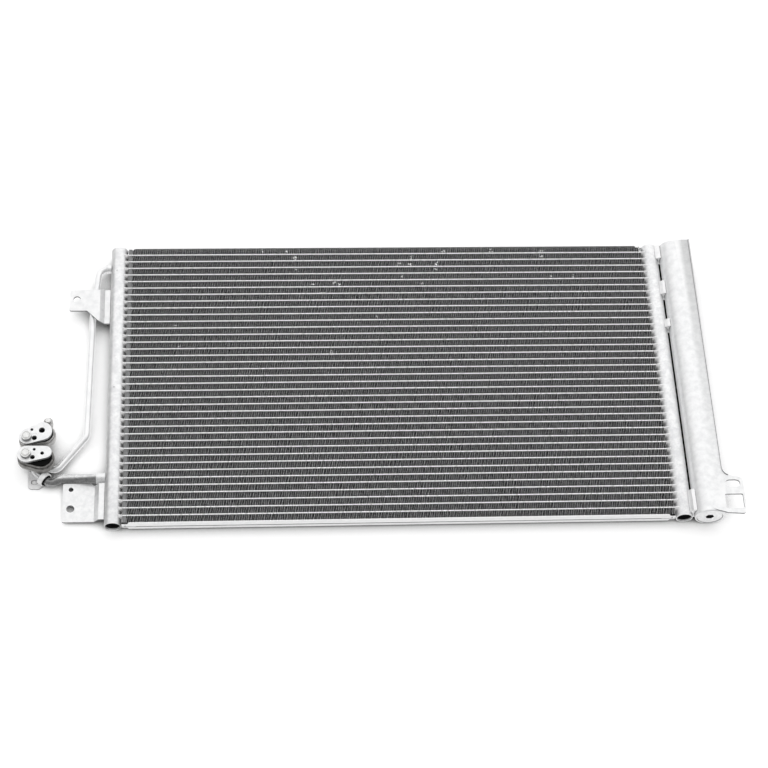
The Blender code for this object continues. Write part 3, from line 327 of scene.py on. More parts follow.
def relief(tree, shader, *layers):
    """Bump layers one on another, each a (height output, depth in metres) pair."""
    normal = None
    for height, depth in layers:
        bump = tree.nodes.new("ShaderNodeBump")
        bump.inputs["Distance"].default_value = depth
        bump.inputs["Strength"].default_value = 1.0
        tree.links.new(height, bump.inputs["Height"])
        if normal is not None:
            tree.links.new(normal, bump.inputs["Normal"])
        normal = bump.outputs["Normal"]
    tree.links.new(normal, shader.inputs["Normal"])


def stained(tree, place, radius):
    """A mask with a ragged edge: 1 near a place and 0 beyond the radius."""
    where = tree.nodes.new("ShaderNodeTexCoord")
    away = tree.nodes.new("ShaderNodeVectorMath")
    away.operation = "DISTANCE"
    away.inputs[1].default_value = place
    tree.links.new(where.outputs["Object"], away.inputs[0])
    ragged = tree.nodes.new("ShaderNodeMath")
    ragged.operation = "MULTIPLY_ADD"
    ragged.inputs[1].default_value = radius * STAIN_RAGGED
    tree.links.new(noise(tree, STAIN_SCALE, detail=3), ragged.inputs[0])
    tree.links.new(away.outputs["Value"], ragged.inputs[2])
    inner, outer = (radius * share for share in STAIN_EDGE)
    return spread(tree, ragged.outputs["Value"], 1.0, 0.0, inner, outer)


def place_on(tree, axis):
    """The place on one axis of the piece, in metres."""
    where = tree.nodes.new("ShaderNodeTexCoord")
    parts = tree.nodes.new("ShaderNodeSeparateXYZ")
    tree.links.new(where.outputs["Object"], parts.inputs["Vector"])
    return parts.outputs[axis]


def along(tree, axis, start, end):
    """A value that goes from 0 to 1 between two places on one axis of the piece."""
    return spread(tree, place_on(tree, axis), 0.0, 1.0, start, end)


def line_on(tree, axis, place, half):
    """A mask that is 1 within half a width of one place on an axis of the piece."""
    within = tree.nodes.new("ShaderNodeMath")
    within.operation = "COMPARE"
    tree.links.new(place_on(tree, axis), within.inputs[0])
    within.inputs[1].default_value = place
    within.inputs[2].default_value = half
    return within.outputs["Value"]


def paint_seam_shade(tree, colour):
    """Darken a colour where other metal stands close by: painted shade in a seam."""
    near = tree.nodes.new("ShaderNodeAmbientOcclusion")
    near.samples = SEAM_SAMPLES
    near.inputs["Distance"].default_value = SEAM_REACH
    shade = ramp(tree, near.outputs["AO"], SEAM_SHADES)
    return blend_colours(tree, 1.0, colour, shade, "MULTIPLY")


def metal(name, pale, dark, roughness, metallic=0.8, grain_along=None, grain_depth=0.00002, blotch=90,
          pit_depth=0.000015, mottle=0.5, marks=(), bands=(), lines=(), seam_shade=True, rubs=True):
    """Aluminium in its mill finish: cloudy and mottled tone, grain along an axis, pits, rubbed edges.

    Marks are (place, radius, colour) stains.  Bands are (axis, start, end, lower tint, upper tint): past the
    end the tone is multiplied by a tint that goes from the lower one to the upper one along Y.  Lines are
    (axis, place, half a width, tint of the dark tone), lines of painted shade.  Seam shade darkens the metal
    close to its neighbours as painted shade, and rubs brightens its edges.
    """
    material, tree, shader = tree_of(name)
    stretch = [1, 1, 1]
    if grain_along is not None:
        stretch[grain_along] = GRAIN_STRETCH
    clouds = noise(tree, blotch, detail=5)
    specks = noise(tree, SPECK_SCALE, detail=4, rough=SPECK_ROUGH)
    grain = noise(tree, GRAIN_SCALE, stretch, detail=3)
    pits = noise(tree, PIT_SCALE, detail=2)
    tone = ramp(tree, clouds, tuple(zip(CLOUD_STOPS, (dark, pale))))
    spotted = blend_colours(tree, spread(tree, specks, 0.0, mottle, *SPECK_STOPS), tone, dark)
    colour = blend_colours(tree, spread(tree, grain, 0.0, GRAIN_SHARE), spotted, dark)
    if rubs:
        shape = tree.nodes.new("ShaderNodeNewGeometry")
        rubbed = spread(tree, shape.outputs["Pointiness"], 0.0, RUB_SHARE, *RUB_STOPS)
        colour = blend_colours(tree, rubbed, colour, [min(1.0, share * RUB_TINT) for share in pale])
    for place, radius, stain in marks:
        colour = blend_colours(tree, stained(tree, place, radius), colour, stain)
    for axis, start, end, lower, upper in bands:
        height = along(tree, "Y", -BAND_SPAN, BAND_SPAN)
        tint = ramp(tree, height, ((0.0, (lower,) * 3), (1.0, (upper,) * 3)))
        colour = blend_colours(tree, along(tree, axis, start, end), colour, tint, "MULTIPLY")
    for axis, place, half, tint in lines:
        line = line_on(tree, axis, place, half)
        colour = blend_colours(tree, line, colour, [share * tint for share in dark])
    if seam_shade:
        colour = paint_seam_shade(tree, colour)
    tree.links.new(colour, shader.inputs["Base Color"])
    smoothest, roughest = (roughness + swing for swing in SHINE_SWING)
    tree.links.new(spread(tree, specks, smoothest, roughest), shader.inputs["Roughness"])
    shader.inputs["Metallic"].default_value = metallic
    relief(tree, shader, (grain, grain_depth), (pits, pit_depth))
    return material


def fin_metal():
    """Thin fin strip with louvre slots across each leg, painted near black as the shade between the legs."""
    material, tree, shader = tree_of("fin_foil")
    louvre = tree.nodes.new("ShaderNodeMath")
    louvre.operation = "PINGPONG"
    louvre.inputs[1].default_value = LOUVRE_HALF
    tree.links.new(place_on(tree, "Z"), louvre.inputs[0])
    slots = spread(tree, louvre.outputs["Value"], 0.0, 1.0, 0.0, LOUVRE_HALF)
    dust_and_shade = noise(tree, DUST_AND_SHADE_SCALE, detail=5)
    tone = ramp(tree, dust_and_shade, PAINTED_FOIL_SHADES)
    shade = blend_colours(tree, spread(tree, slots, 0.0, 0.6, 0.0, 0.35), LOUVRE_SLOT_PAINTED_SHADE, tone)
    tree.links.new(shade, shader.inputs["Base Color"])
    tree.links.new(spread(tree, dust_and_shade, 0.40, 0.62), shader.inputs["Roughness"])
    shader.inputs["Metallic"].default_value = 0.7
    relief(tree, shader, (slots, LOUVRE_DEPTH))
    return material


TUBE_METAL = metal("tube_aluminium", (1.0, 1.0, 1.0), (0.90, 0.905, 0.91), 0.30, metallic=0.5,
                   grain_along=0, mottle=0.3)
FIN_FOIL_PAINTED_SHADE = fin_metal()
# Painted shade: the tubes' flat faces between the fins take a dark colour, for the shade deep in the core
TUBE_FLAT_PAINTED_SHADE = metal("tube_flat_painted_shade", (0.14, 0.14, 0.145), (0.06, 0.06, 0.062), 0.5, grain_along=0)
FIN_EDGE = metal("fin_cut_edge", (1.0, 1.0, 1.0), (0.74, 0.745, 0.75), 0.40, blotch=130, mottle=0.7,
                 seam_shade=False)
# Painted shade: a dark copy of the cut edge for every other leg, as if those legs faced away from the light
FIN_EDGE_PAINTED_SHADE = metal("fin_cut_edge_painted_shade", (0.32, 0.325, 0.33), (0.10, 0.10, 0.102), 0.5, blotch=130,
                      seam_shade=False)
# Painted shade: the flat end of the fin strip beside the header is coloured dark grey
FIN_LEAD_PAINTED_SHADE = metal("fin_lead_in_painted_shade", (0.26, 0.262, 0.265), (0.10, 0.102, 0.105), 0.5, blotch=500,
                       seam_shade=False)
FIN_METALS = (FIN_FOIL_PAINTED_SHADE, FIN_EDGE, FIN_EDGE_PAINTED_SHADE)
BRAZE = metal("braze_fillet", (0.98, 0.98, 0.975), (0.86, 0.86, 0.855), 0.6, metallic=0.4, blotch=600,
              seam_shade=False)


def select(obj, kind, test):
    """In edit mode, select the faces or edges for which the test holds, and nothing else."""
    work = bmesh.from_edit_mesh(obj.data)
    for item in (*work.verts, *work.edges, *work.faces):
        item.select = False
    for item in getattr(work, kind):
        if test(item):
            item.select_set(True)
    bmesh.update_edit_mesh(obj.data)


def extrude(step):
    """Extrude what is selected by a step and leave the new end selected."""
    bpy.ops.mesh.extrude_region_move(TRANSFORM_OT_translate={"value": step})


def settle(obj):
    """Apply an object's place and its modifiers, so that its place is in its mesh."""
    only(obj)
    bpy.ops.object.transform_apply(location=True, rotation=True, scale=True)
    for modifier in list(obj.modifiers):
        bpy.ops.object.modifier_apply(modifier=modifier.name)
    return obj


def joined(name, pieces):
    """Several pieces made into one, under a name."""
    only(pieces[0])
    for piece in pieces:
        piece.select_set(True)
    bpy.ops.object.join()
    bpy.context.object.name = name
    return bpy.context.object


def fit_out(piece, material, slot, *nodes):
    """Give a finished piece its material, its body and the CAD nodes it stands for; the slot is not used."""
    if material is not None:
        piece.data.materials.clear()
        piece.data.materials.append(material)
    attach(piece, "root")
    if nodes:
        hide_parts(*nodes)


def flat_tube(length, middle):
    """One flat tube along X: a round bar whose halves are pulled apart to the tube's depth."""
    nose = TUBE_HEIGHT / 2
    bpy.ops.mesh.primitive_cylinder_add(vertices=NOSE_STEPS * 2, radius=nose, depth=length,
                                        location=middle, rotation=(0, math.pi / 2, 0))
    tube = settle(bpy.context.object)
    for vertex in tube.data.vertices:
        side = 1 if vertex.co.z > middle[2] + SAME_PLACE else -1
        vertex.co.z += side * (TUBE_DEPTH / 2 - nose)
    bpy.ops.object.shade_smooth_by_angle(angle=math.radians(NOSE_SMOOTH))
    tube.data.materials.append(TUBE_METAL)
    # The flat faces, deep between the fins, take the dark copy painted as shade
    tube.data.materials.append(TUBE_FLAT_PAINTED_SHADE)
    for face in tube.data.polygons:
        if abs(face.normal.y) > FLAT_FACE:
            face.material_index = 1
    return tube


def fin_row(low_y, high_y, left, right, top, bottom):
    """One fin row: a fold drawn out of a crest, repeated along X and given its sheet thickness.

    The cut edge of each face takes the next metal in the list, so the last leg's edge takes a darker copy,
    painted as shade on every other leg.
    """
    rise = high_y - low_y - FIN_SHEET
    base = low_y + FIN_SHEET / 2
    run = FIN_LEG - FIN_CREST
    bpy.ops.mesh.primitive_plane_add(size=1)
    row = bpy.context.object
    row.rotation_euler = (math.pi / 2, 0, 0)
    row.scale = (FIN_CREST, top - bottom, 1)
    row.location = (left + FIN_CREST / 2, base, (top + bottom) / 2)
    settle(row)
    bpy.ops.object.mode_set(mode="EDIT")
    edge_x = left + FIN_CREST
    select(row, "edges", lambda edge: all(abs(v.co.x - edge_x) < SAME_PLACE for v in edge.verts))
    extrude((run, rise, 0))
    extrude((FIN_CREST, 0, 0))
    extrude((run, -rise, 0))
    bpy.ops.object.mode_set(mode="OBJECT")
    folds = int((right - left) / (2 * FIN_LEG))
    repeat = row.modifiers.new("folds", "ARRAY")
    repeat.count = folds
    repeat.use_relative_offset = False
    repeat.use_constant_offset = True
    repeat.constant_offset_displace = (2 * FIN_LEG, 0, 0)
    repeat.use_merge_vertices = True
    repeat.merge_threshold = FIN_MERGE
    sheet = row.modifiers.new("sheet", "SOLIDIFY")
    sheet.thickness = FIN_SHEET
    sheet.offset = 0
    sheet.material_offset_rim = 1
    for material in (FIN_FOIL_PAINTED_SHADE, FIN_EDGE, FIN_FOIL_PAINTED_SHADE, FIN_EDGE_PAINTED_SHADE):
        row.data.materials.append(material)
    row.data.polygons[-1].material_index = 2
    settle(row)
    return row


def fin_lead(low_y, high_y, left, top):
    """The plain end of a fin strip: flat beside the header, turned down where the folds begin."""
    bpy.ops.mesh.primitive_plane_add(size=1)
    lead = bpy.context.object
    lead.scale = (FIN_LEAD, high_y - low_y, 1)
    lead.location = (left - FIN_LEAD / 2, (low_y + high_y) / 2, top - 2 * FIN_SHEET)
    settle(lead)
    bpy.ops.object.mode_set(mode="EDIT")
    select(lead, "edges", lambda edge: all(v.co.x > left - SAME_PLACE for v in edge.verts))
    extrude((FIN_SHEET, 0, -TUBE_DEPTH / 2))
    bpy.ops.object.mode_set(mode="OBJECT")
    sheet = lead.modifiers.new("sheet", "SOLIDIFY")
    sheet.thickness = FIN_SHEET
    sheet.offset = 0
    # Its dark grey colour is painted shade
    lead.data.materials.append(FIN_LEAD_PAINTED_SHADE)
    return settle(lead)


def fillet(x, y, z, side):
    """Braze metal that runs from the header onto a tube: a cone squashed to the tube's outline."""
    bpy.ops.mesh.primitive_cone_add(vertices=FILLET_SIDES, radius1=1, radius2=FILLET_NECK,
                                    depth=FILLET_LENGTH, location=(x - side * FILLET_LENGTH / 2, y, z),
                                    rotation=(0, -side * math.pi / 2, 0))
    piece = settle(bpy.context.object)
    for vertex in piece.data.vertices:
        at_base = math.hypot(vertex.co.y - y, vertex.co.z - z) > (1 + FILLET_NECK) / 2
        slim = FILLET_HALF[1] if at_base else FILLET_HALF[1] / FILLET_FLARE
        vertex.co.y = y + (vertex.co.y - y) * FILLET_HALF[0]
        vertex.co.z = z + (vertex.co.z - z) * slim
    bpy.ops.object.shade_smooth_by_angle(angle=math.radians(FILLET_SMOOTH))
    piece.data.materials.append(BRAZE)
    return piece


def wander(mesh, chance, drop):
    """Move a bank's mesh to its place, and let its folds stray and lean a little."""
    phases = [chance.uniform(0, math.tau) for _ in WANDER_WAVES]
    waves = [chance.uniform(*span) for span in WANDER_WAVES]
    leans = [(chance.uniform(*LEAN_WAVES), chance.uniform(0, math.tau)) for _ in range(LEAN_COUNT)]
    is_fin = set()
    for face in mesh.polygons:
        if mesh.materials[face.material_index] in FIN_METALS:
            is_fin.update(face.vertices)
    for vertex in mesh.vertices:
        if vertex.index in is_fin:
            x = vertex.co.x
            row = math.floor(vertex.co.y / TUBE_PITCH)
            stray = sum(math.sin(x * w + p + WANDER_SHIFT * row) for w, p in zip(waves, phases))
            lean = sum(math.sin(x * w + p + LEAN_SHIFT * row) for w, p in leans)
            side = 1 if (vertex.co.y - TUBE_LINE) / TUBE_PITCH % 1 > 0.5 else -1
            vertex.co.x += FIN_WANDER * (stray / WANDER_SHARE) + FIN_LEAN * (lean / LEAN_SHARE) * side
        vertex.co.y += drop
    mesh.update()


def build_core():
    """All the banks, and the last fin row below the last tube."""
    low, high = map(Vector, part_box("tube_bank_01"))
    middle_x = (low.x + high.x) / 2
    tube_y = low.y + TUBE_HEIGHT / 2
    middle_z = (low.z + high.z) / 2
    face = TUBE_HEIGHT / 2
    fin_top = high.z - FIN_SETBACK
    fin_bottom = low.z + FIN_SETBACK
    left = middle_x - FIN_REACH
    right = middle_x + FIN_REACH
    tubes = [flat_tube(high.x - low.x, (middle_x, tube_y + i * TUBE_PITCH, middle_z)) for i in (0, 1)]
    gaps = [(tube_y + i * TUBE_PITCH + face, tube_y + (i + 1) * TUBE_PITCH - face) for i in (0, 1)]
    rows = [fin_row(*gap, left + FIN_LEAD, right, fin_top, fin_bottom) for gap in gaps]
    leads = [fin_lead(*gap, left + FIN_LEAD, fin_top) for gap in gaps]
    fillet_x = FIN_REACH + FILLET_LENGTH
    fillets = [fillet(middle_x + side * fillet_x, tube_y + i * TUBE_PITCH, middle_z, side)
               for i in (0, 1) for side in (-1, 1)]
    bank = joined("tube_and_fin_bank_01", (*tubes, *rows, *leads, *fillets))
    base = bank.data.copy()
    chance = random.Random(CORE_SEED)
    for index in range(BANKS):
        if index:
            bank = bpy.data.objects.new(f"tube_and_fin_bank_{index + 1:02d}", base.copy())
            scene.collection.objects.link(bank)
        wander(bank.data, chance, -index * 2 * TUBE_PITCH)
        fit_out(bank, None, "tube_aluminium", f"tube_bank_{index + 1:02d}")
    top_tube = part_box(f"tube_bank_{BANKS:02d}")[0][1]
    gap_low = top_tube - (TUBE_PITCH - TUBE_HEIGHT)
    last_row = fin_row(gap_low, top_tube, left + FIN_LEAD, right, fin_top, fin_bottom)
    last_lead = fin_lead(gap_low, top_tube, left + FIN_LEAD, fin_top)
    last = joined("last_fin_row", (last_row, last_lead))
    wander(last.data, chance, 0)
    fit_out(last, None, "sheet_aluminium")


build_core()

# Bent fins
# Handling has bent some edges of the fin strip over.  Each such place shows a few bright flaps of the same
# thin aluminium, still joined to the folds and lying over them between two tubes.
BENT_PLACES = (
    (-0.1365, 0.1893, 3), (-0.1046, 0.1890, 4), (-0.0954, 0.1784, 7), (-0.0933, 0.1588, 2),
    (-0.0738, 0.1407, 2), (-0.0617, 0.1287, 2), (-0.0477, 0.1405, 3), (-0.0416, 0.1389, 3),
    (0.0049, 0.0898, 2), (-0.0533, 0.0399, 3), (-0.2427, 0.0807, 2), (-0.2388, 0.0505, 2),
    (0.0340, 0.1683, 5), (0.0509, 0.1788, 5), (0.0485, 0.1682, 4), (0.0376, 0.1510, 3),
    (0.0826, 0.1694, 4), (0.0807, 0.1589, 2), (0.0634, 0.1410, 2), (0.0913, 0.1891, 4),
    (0.1521, 0.1887, 4), (0.2165, 0.1882, 4), (0.2149, 0.1790, 6), (0.2250, 0.1486, 2),
    (0.2547, 0.1484, 3), (0.3396, 0.1873, 3),
)
BENT_SEED = 23
FLAP_GRID = (3, 2)
FLAP_CREASE = 0.25
FLAP_SKEW = 0.12
FLAP_LENGTH = (0.0010, 0.0024)
FLAP_WIDTH = (0.0006, 0.0013)
FLAP_HEIGHT = 0.0006
FLAP_TILT = 0.3
FLAP_STRAY = (0.0022, 0.0026)
FLAP_RISE = 0.0001
BENT_METAL = metal("bent_fin_foil", (0.99, 0.99, 0.99), (0.80, 0.805, 0.81), 0.35, blotch=500, seam_shade=False)


def build_bent_fins():
    """Every bent flap is a small strip of foil, creased at random and laid over the fold edges."""
    chance = random.Random(BENT_SEED)
    fin_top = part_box("tube_bank_01")[1][2] - FIN_SETBACK
    flaps = []
    for x, y, count in BENT_PLACES:
        for _ in range(count):
            bpy.ops.mesh.primitive_grid_add(x_subdivisions=FLAP_GRID[0], y_subdivisions=FLAP_GRID[1], size=1)
            flap = bpy.context.object
            for vertex in flap.data.vertices:
                vertex.co.z += chance.uniform(-FLAP_CREASE, FLAP_CREASE)
                vertex.co.x += chance.uniform(-FLAP_SKEW, FLAP_SKEW)
            flap.scale = (chance.uniform(*FLAP_LENGTH), chance.uniform(*FLAP_WIDTH), FLAP_HEIGHT)
            tilt = [chance.uniform(-FLAP_TILT, FLAP_TILT) for _ in range(2)]
            flap.rotation_euler = (*tilt, chance.uniform(0, math.pi))
            stray_x, stray_y = (chance.uniform(-reach, reach) for reach in FLAP_STRAY)
            flap.location = (x + stray_x, y + stray_y, fin_top + FLAP_RISE)
            sheet = flap.modifiers.new("sheet", "SOLIDIFY")
            sheet.thickness = FIN_SHEET / 2
            flaps.append(settle(flap))
    fit_out(joined("bent_fin_flaps", flaps), BENT_METAL, "tube_aluminium")


build_bent_fins()

# Side rails
# A strip of aluminium sheet along each long edge of the core, brazed over its end fin row.  It is pressed
# with a groove, and its ends narrow to a tab with a small hole.  The shade in the groove and along its
# lower edge is painted as dark lines.
RAIL_ROUNDING = 0.00015
ROUND_SEGMENTS = 2
SHARP_ANGLE = 35
SMOOTH_ANGLE = 32
MERGE_REACH = 0.00001
SLIVER = 0.00002
FLAT_ANGLE = 0.5
FULL_WEIGHT = 100
# Painted shade: a grey line along the groove and a near-black line along the lower edge
RAIL_METAL = metal("side_rail_aluminium", (0.99, 0.99, 0.99), (0.90, 0.905, 0.91), 0.40, metallic=0.5,
                   grain_along=0, blotch=140, mottle=0.35,
                   lines=(("Z", 0.0108, 0.0006, 0.45), ("Z", 0.0048, 0.0006, 0.08)))


def rounded(piece, width, segments=ROUND_SEGMENTS, sharp=SHARP_ANGLE):
    """Round a piece's sharp edges to a width, and shade the rest of it smooth."""
    rounding = piece.modifiers.new("rounding", "BEVEL")
    rounding.width = width
    rounding.segments = segments
    rounding.limit_method = "ANGLE"
    rounding.angle_limit = math.radians(sharp)
    settle(piece)
    bpy.ops.object.shade_smooth_by_angle(angle=math.radians(SMOOTH_ANGLE))


def refined(name, node, width):
    """A copy of a CAD piece with its loose triangles merged and its sharp edges rounded."""
    piece = bpy.data.objects.new(name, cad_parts[node].data.copy())
    scene.collection.objects.link(piece)
    only(piece)
    bpy.ops.object.mode_set(mode="EDIT")
    bpy.ops.mesh.select_all(action="SELECT")
    bpy.ops.mesh.remove_doubles(threshold=MERGE_REACH)
    bpy.ops.mesh.dissolve_degenerate(threshold=SLIVER)
    bpy.ops.mesh.dissolve_limited(angle_limit=math.radians(FLAT_ANGLE))
    bpy.ops.mesh.normals_make_consistent(inside=False)
    bpy.ops.object.mode_set(mode="OBJECT")
    rounded(piece, width)
    flats = piece.modifiers.new("flats", "WEIGHTED_NORMAL")
    flats.keep_sharp = True
    flats.weight = FULL_WEIGHT
    return settle(piece)


for word in ("upper", "lower"):
    rail = refined(f"{word}_side_rail", "upper_side_plate", RAIL_ROUNDING)
    if word == "lower":
        header_low, header_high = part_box("left_header")
        for vertex in rail.data.vertices:
            vertex.co.y = header_low[1] + header_high[1] - vertex.co.y
        rail.data.flip_normals()
    fit_out(rail, RAIL_METAL, "sheet_aluminium", f"{word}_side_plate")

# Left header brackets
# Two plates of aluminium sheet that hold the core in the vehicle.  Each is pressed with a ramp, pierced and
# brazed onto the left header.  Its side walls and the walls of its holes are painted dark as shade.
EDGE_ROUNDING = 0.0003
EDGE_LEAN = 0.3
SHEET_METAL = metal("sheet_aluminium", (0.97, 0.97, 0.972), (0.84, 0.845, 0.85), 0.40, grain_along=1,
                    blotch=140, mottle=0.35)
# Painted shade: a dark colour for steep side walls and hole walls, here and on flange, covers, screws and
# clamp tab
EDGE_PAINTED_SHADE = metal("side_wall_painted_shade", (0.40, 0.40, 0.405), (0.20, 0.202, 0.205), 0.55, metallic=0.5,
                   blotch=400)


def edged(piece, material, test):
    """Give the faces for which the test holds a second material."""
    piece.data.materials.append(material)
    for face in piece.data.polygons:
        if test(face):
            face.material_index = len(piece.data.materials) - 1


for word in ("upper", "lower"):
    sheet = refined(f"{word}_bracket_plate", f"{word}_left_bracket", EDGE_ROUNDING)
    fit_out(sheet, SHEET_METAL, "sheet_aluminium", f"{word}_left_bracket")
    edged(sheet, EDGE_PAINTED_SHADE, lambda face: abs(face.normal.z) < EDGE_LEAN)

# Bridges between the right header and the receiver
# Four aluminium saddle blocks, shaped to both round tubes and brazed between them.  Two of them carry the
# refrigerant into the receiver and out of it.
for node in ("upper_saddle", "outlet_bridge", "inlet_bridge", "lower_saddle"):
    block = refined(f"{node}_block", node, EDGE_ROUNDING)
    fit_out(block, SHEET_METAL, "sheet_aluminium", node)

# Headers
# Round aluminium tubes along both ends of the core, which the flat tubes enter and are brazed to.  A
# pressed cup with a rolled lip closes each end, a little way inside the tube's mouth.
HEADER_STEPS = 64
HEADER_WALL = 0.0013
HEADER_MOUTH = 0.0075
HEADER_RIM = 0.0003
MOUTH_SHARP = 40
END_FACE = 0.9
CUP_DEPTH = 0.0055
CUP_GAP = 0.00005
CUP_WALL = 0.0011
DIMPLE_INSET = 0.45
DIMPLE_RISE = 0.6
CUP_LIP = 0.0004
LIP_SEGMENTS = 3
# Painted shade on the left header: darker on its outer side, and darker still on the side next to the core
HEADER_PAINTED_SHADE = {
    "left": (("X", -0.3178, -0.3208, 0.66, 0.66), ("X", -0.3080, -0.3050, 0.4, 0.4)),
    "right": (),
}
HEADER_MARKS = (((-0.3157, -0.0072, 0.0225), 0.0008, (0.12, 0.12, 0.12)),
                ((-0.3162, 0.1606, 0.0225), 0.0008, (0.12, 0.12, 0.12)))
# Painted shade: the cups deep in the header mouths and the plugs' hexagon sockets are coloured near black
RECESS_PAINTED_SHADE = metal("end_cap_aluminium", (0.06, 0.06, 0.063), (0.02, 0.02, 0.021), 0.6)


def header(word):
    """One header with both its mouths hollow, and a cup with a rolled lip in each."""
    low, high = map(Vector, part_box(f"{word}_header"))
    middle = (low + high) / 2
    radius = (high.z - low.z) / 2
    bpy.ops.mesh.primitive_cylinder_add(vertices=HEADER_STEPS, radius=radius, depth=high.y - low.y,
                                        location=middle, rotation=(math.pi / 2, 0, 0))
    tube = settle(bpy.context.object)
    tube.name = f"{word}_header_tube"
    bpy.ops.object.mode_set(mode="EDIT")
    for side in (-1, 1):
        select(tube, "faces", lambda face: face.normal.y * side > END_FACE)
        bpy.ops.mesh.inset(thickness=HEADER_WALL)
        extrude((0, -side * HEADER_MOUTH, 0))
    bpy.ops.object.mode_set(mode="OBJECT")
    rounded(tube, HEADER_RIM, sharp=MOUTH_SHARP)
    tube_metal = metal(f"{word}_header_aluminium", (0.98, 0.98, 0.982), (0.76, 0.765, 0.775), 0.36,
                       grain_along=1, blotch=160, mottle=0.6, metallic=0.5, seam_shade=False,
                       marks=HEADER_MARKS, bands=HEADER_PAINTED_SHADE[word])
    fit_out(tube, tube_metal, "header_aluminium", f"{word}_header")
    for side, end, mouth_y in ((1, "upper", high.y), (-1, "lower", low.y)):
        cup(f"{word}_header_{end}_cup", middle, radius - HEADER_WALL, mouth_y, side,
            f"{word}_header_{end}_cap")


def cup(name, middle, radius, mouth_y, side, node):
    """A pressed cup: a disc at the bottom of the mouth with a wall that stands towards the end."""
    middle_y = mouth_y - side * (HEADER_MOUTH - CUP_DEPTH / 2)
    bpy.ops.mesh.primitive_cylinder_add(vertices=HEADER_STEPS, radius=radius - CUP_GAP, depth=CUP_DEPTH,
                                        location=(middle.x, middle_y, middle.z),
                                        rotation=(math.pi / 2, 0, 0))
    piece = settle(bpy.context.object)
    piece.name = name
    bpy.ops.object.mode_set(mode="EDIT")
    select(piece, "faces", lambda face: face.normal.y * side > END_FACE)
    bpy.ops.mesh.inset(thickness=CUP_WALL)
    extrude((0, -side * (CUP_DEPTH - CUP_WALL), 0))
    bpy.ops.mesh.inset(thickness=radius * DIMPLE_INSET)
    bpy.ops.transform.translate(value=(0, side * CUP_WALL * DIMPLE_RISE, 0))
    bpy.ops.object.mode_set(mode="OBJECT")
    rounded(piece, CUP_LIP, LIP_SEGMENTS, MOUTH_SHARP)
    fit_out(piece, RECESS_PAINTED_SHADE, "end_cap_aluminium", node)


header("left")
header("right")

# Receiver-drier
# An extruded aluminium bottle with a flange along its crown, which widens into a foot with a slot and a
# window.  A disc is brazed into its upper end, and a plug with a hexagon socket is screwed into the lower.
FLANGE_EDGE = 0.0032
FLANGE_LEAN = 0.5
SOCKET_REACH = 0.0062
SOCKET_INSET = 0.0005
# Painted shade: the outer part of the flange is made greyer towards its upper end
RECEIVER_METAL = metal("receiver_aluminium", (0.96, 0.963, 0.966), (0.84, 0.845, 0.85), 0.36,
                       grain_along=1, blotch=140, mottle=0.35, metallic=0.5,
                       bands=(("X", 0.3885, 0.3935, 1.0, 0.70),))
PLUG_METAL = metal("plug_aluminium", (0.97, 0.97, 0.972), (0.80, 0.80, 0.805), 0.42, blotch=300)


def in_socket(node):
    """A test for the faces inside a disc's recess, near its middle and away from its two ends."""
    low, high = map(Vector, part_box(node))
    middle = (low + high) / 2

    def test(face):
        off_axis = math.hypot(face.center.x - middle.x, face.center.z - middle.z)
        return off_axis < SOCKET_REACH and low.y + SOCKET_INSET < face.center.y < high.y - SOCKET_INSET

    return test


bottle = refined("receiver_bottle", "receiver_body", EDGE_ROUNDING)
fit_out(bottle, RECEIVER_METAL, "sheet_aluminium", "receiver_body")
flange_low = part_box("receiver_body")[1][2] - FLANGE_EDGE
# The flange's side walls and rounded edges take the painted shade
edged(bottle, EDGE_PAINTED_SHADE, lambda face: abs(face.normal.z) < FLANGE_LEAN and face.center.z > flange_low)
for node in ("receiver_top_cap", "receiver_plug"):
    disc = refined(f"{node}_disc", node, EDGE_ROUNDING)
    fit_out(disc, PLUG_METAL, "machined_aluminium", node)
    # The inside of the socket is coloured near black as painted shade
    edged(disc, RECESS_PAINTED_SHADE, in_socket(node))

# Pipes and their ferrules
# The liquid pipe and the thicker gas pipe are drawn aluminium, bent to shape and brazed at both ends.  Each
# enters the left header through a turned ferrule.  The lower pipe is painted darker as a reflection of
# darker surroundings, and its front half darker still.
PIPE_METAL = metal("pipe_aluminium", (1.0, 1.0, 1.0), (0.92, 0.925, 0.93), 0.34, metallic=0.9, mottle=0.1,
                   blotch=60, grain_depth=0.000003, pit_depth=0.000002, seam_shade=False, rubs=False,
                   bands=(("X", -0.3240, -0.3228, 0.35, 0.35),))
left_low, left_high = map(Vector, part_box("left_header"))
right_high = Vector(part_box("right_header")[1])
core_middle = Vector(((left_low.x + right_high.x) / 2, (left_low.y + left_high.y) / 2, 0))
UPPER_RUN = (
    (-0.34135, 0.1655, 0.0125, 0),
    (-0.3592, 0.1655, 0.0125, 0.012),
    (-0.3651, 0.0940, 0.0125, 0.060),
    (-0.3676, -0.0725, 0.0118, 0.013),
    (-0.40345, -0.1190, 0.0092, 0.009),
    (-0.41152, -0.11097, 0.0092, 0),
)
LOWER_RUN = (
    (-0.34135, -0.1280, 0.0122, 0),
    (-0.3605, -0.1280, 0.0122, 0.040),
    (-0.3820, -0.1256, 0.0087, 0.030),
    (-0.3960, -0.1262, 0.0087, 0.020),
    (-0.40815, -0.1330, 0.0087, 0.007),
    (-0.4282, -0.1143, 0.0087, 0.013),
    (-0.42172, -0.08343, 0.0087, 0),
)
UPPER_RADIUS = 0.004
LOWER_RADIUS = 0.005
PIPE_TURN_STEP = 4.0
PIPE_ROUNDNESS = 7
PIPE_SMOOTH = 40
POINT_MERGE = 0.000005
SPUN_STEPS = 48
FERRULE_WALL = 0.0017
FERRULE_BEAD = 0.0006
BEAD_STEPS = (2.4, 1.8, 0.5)
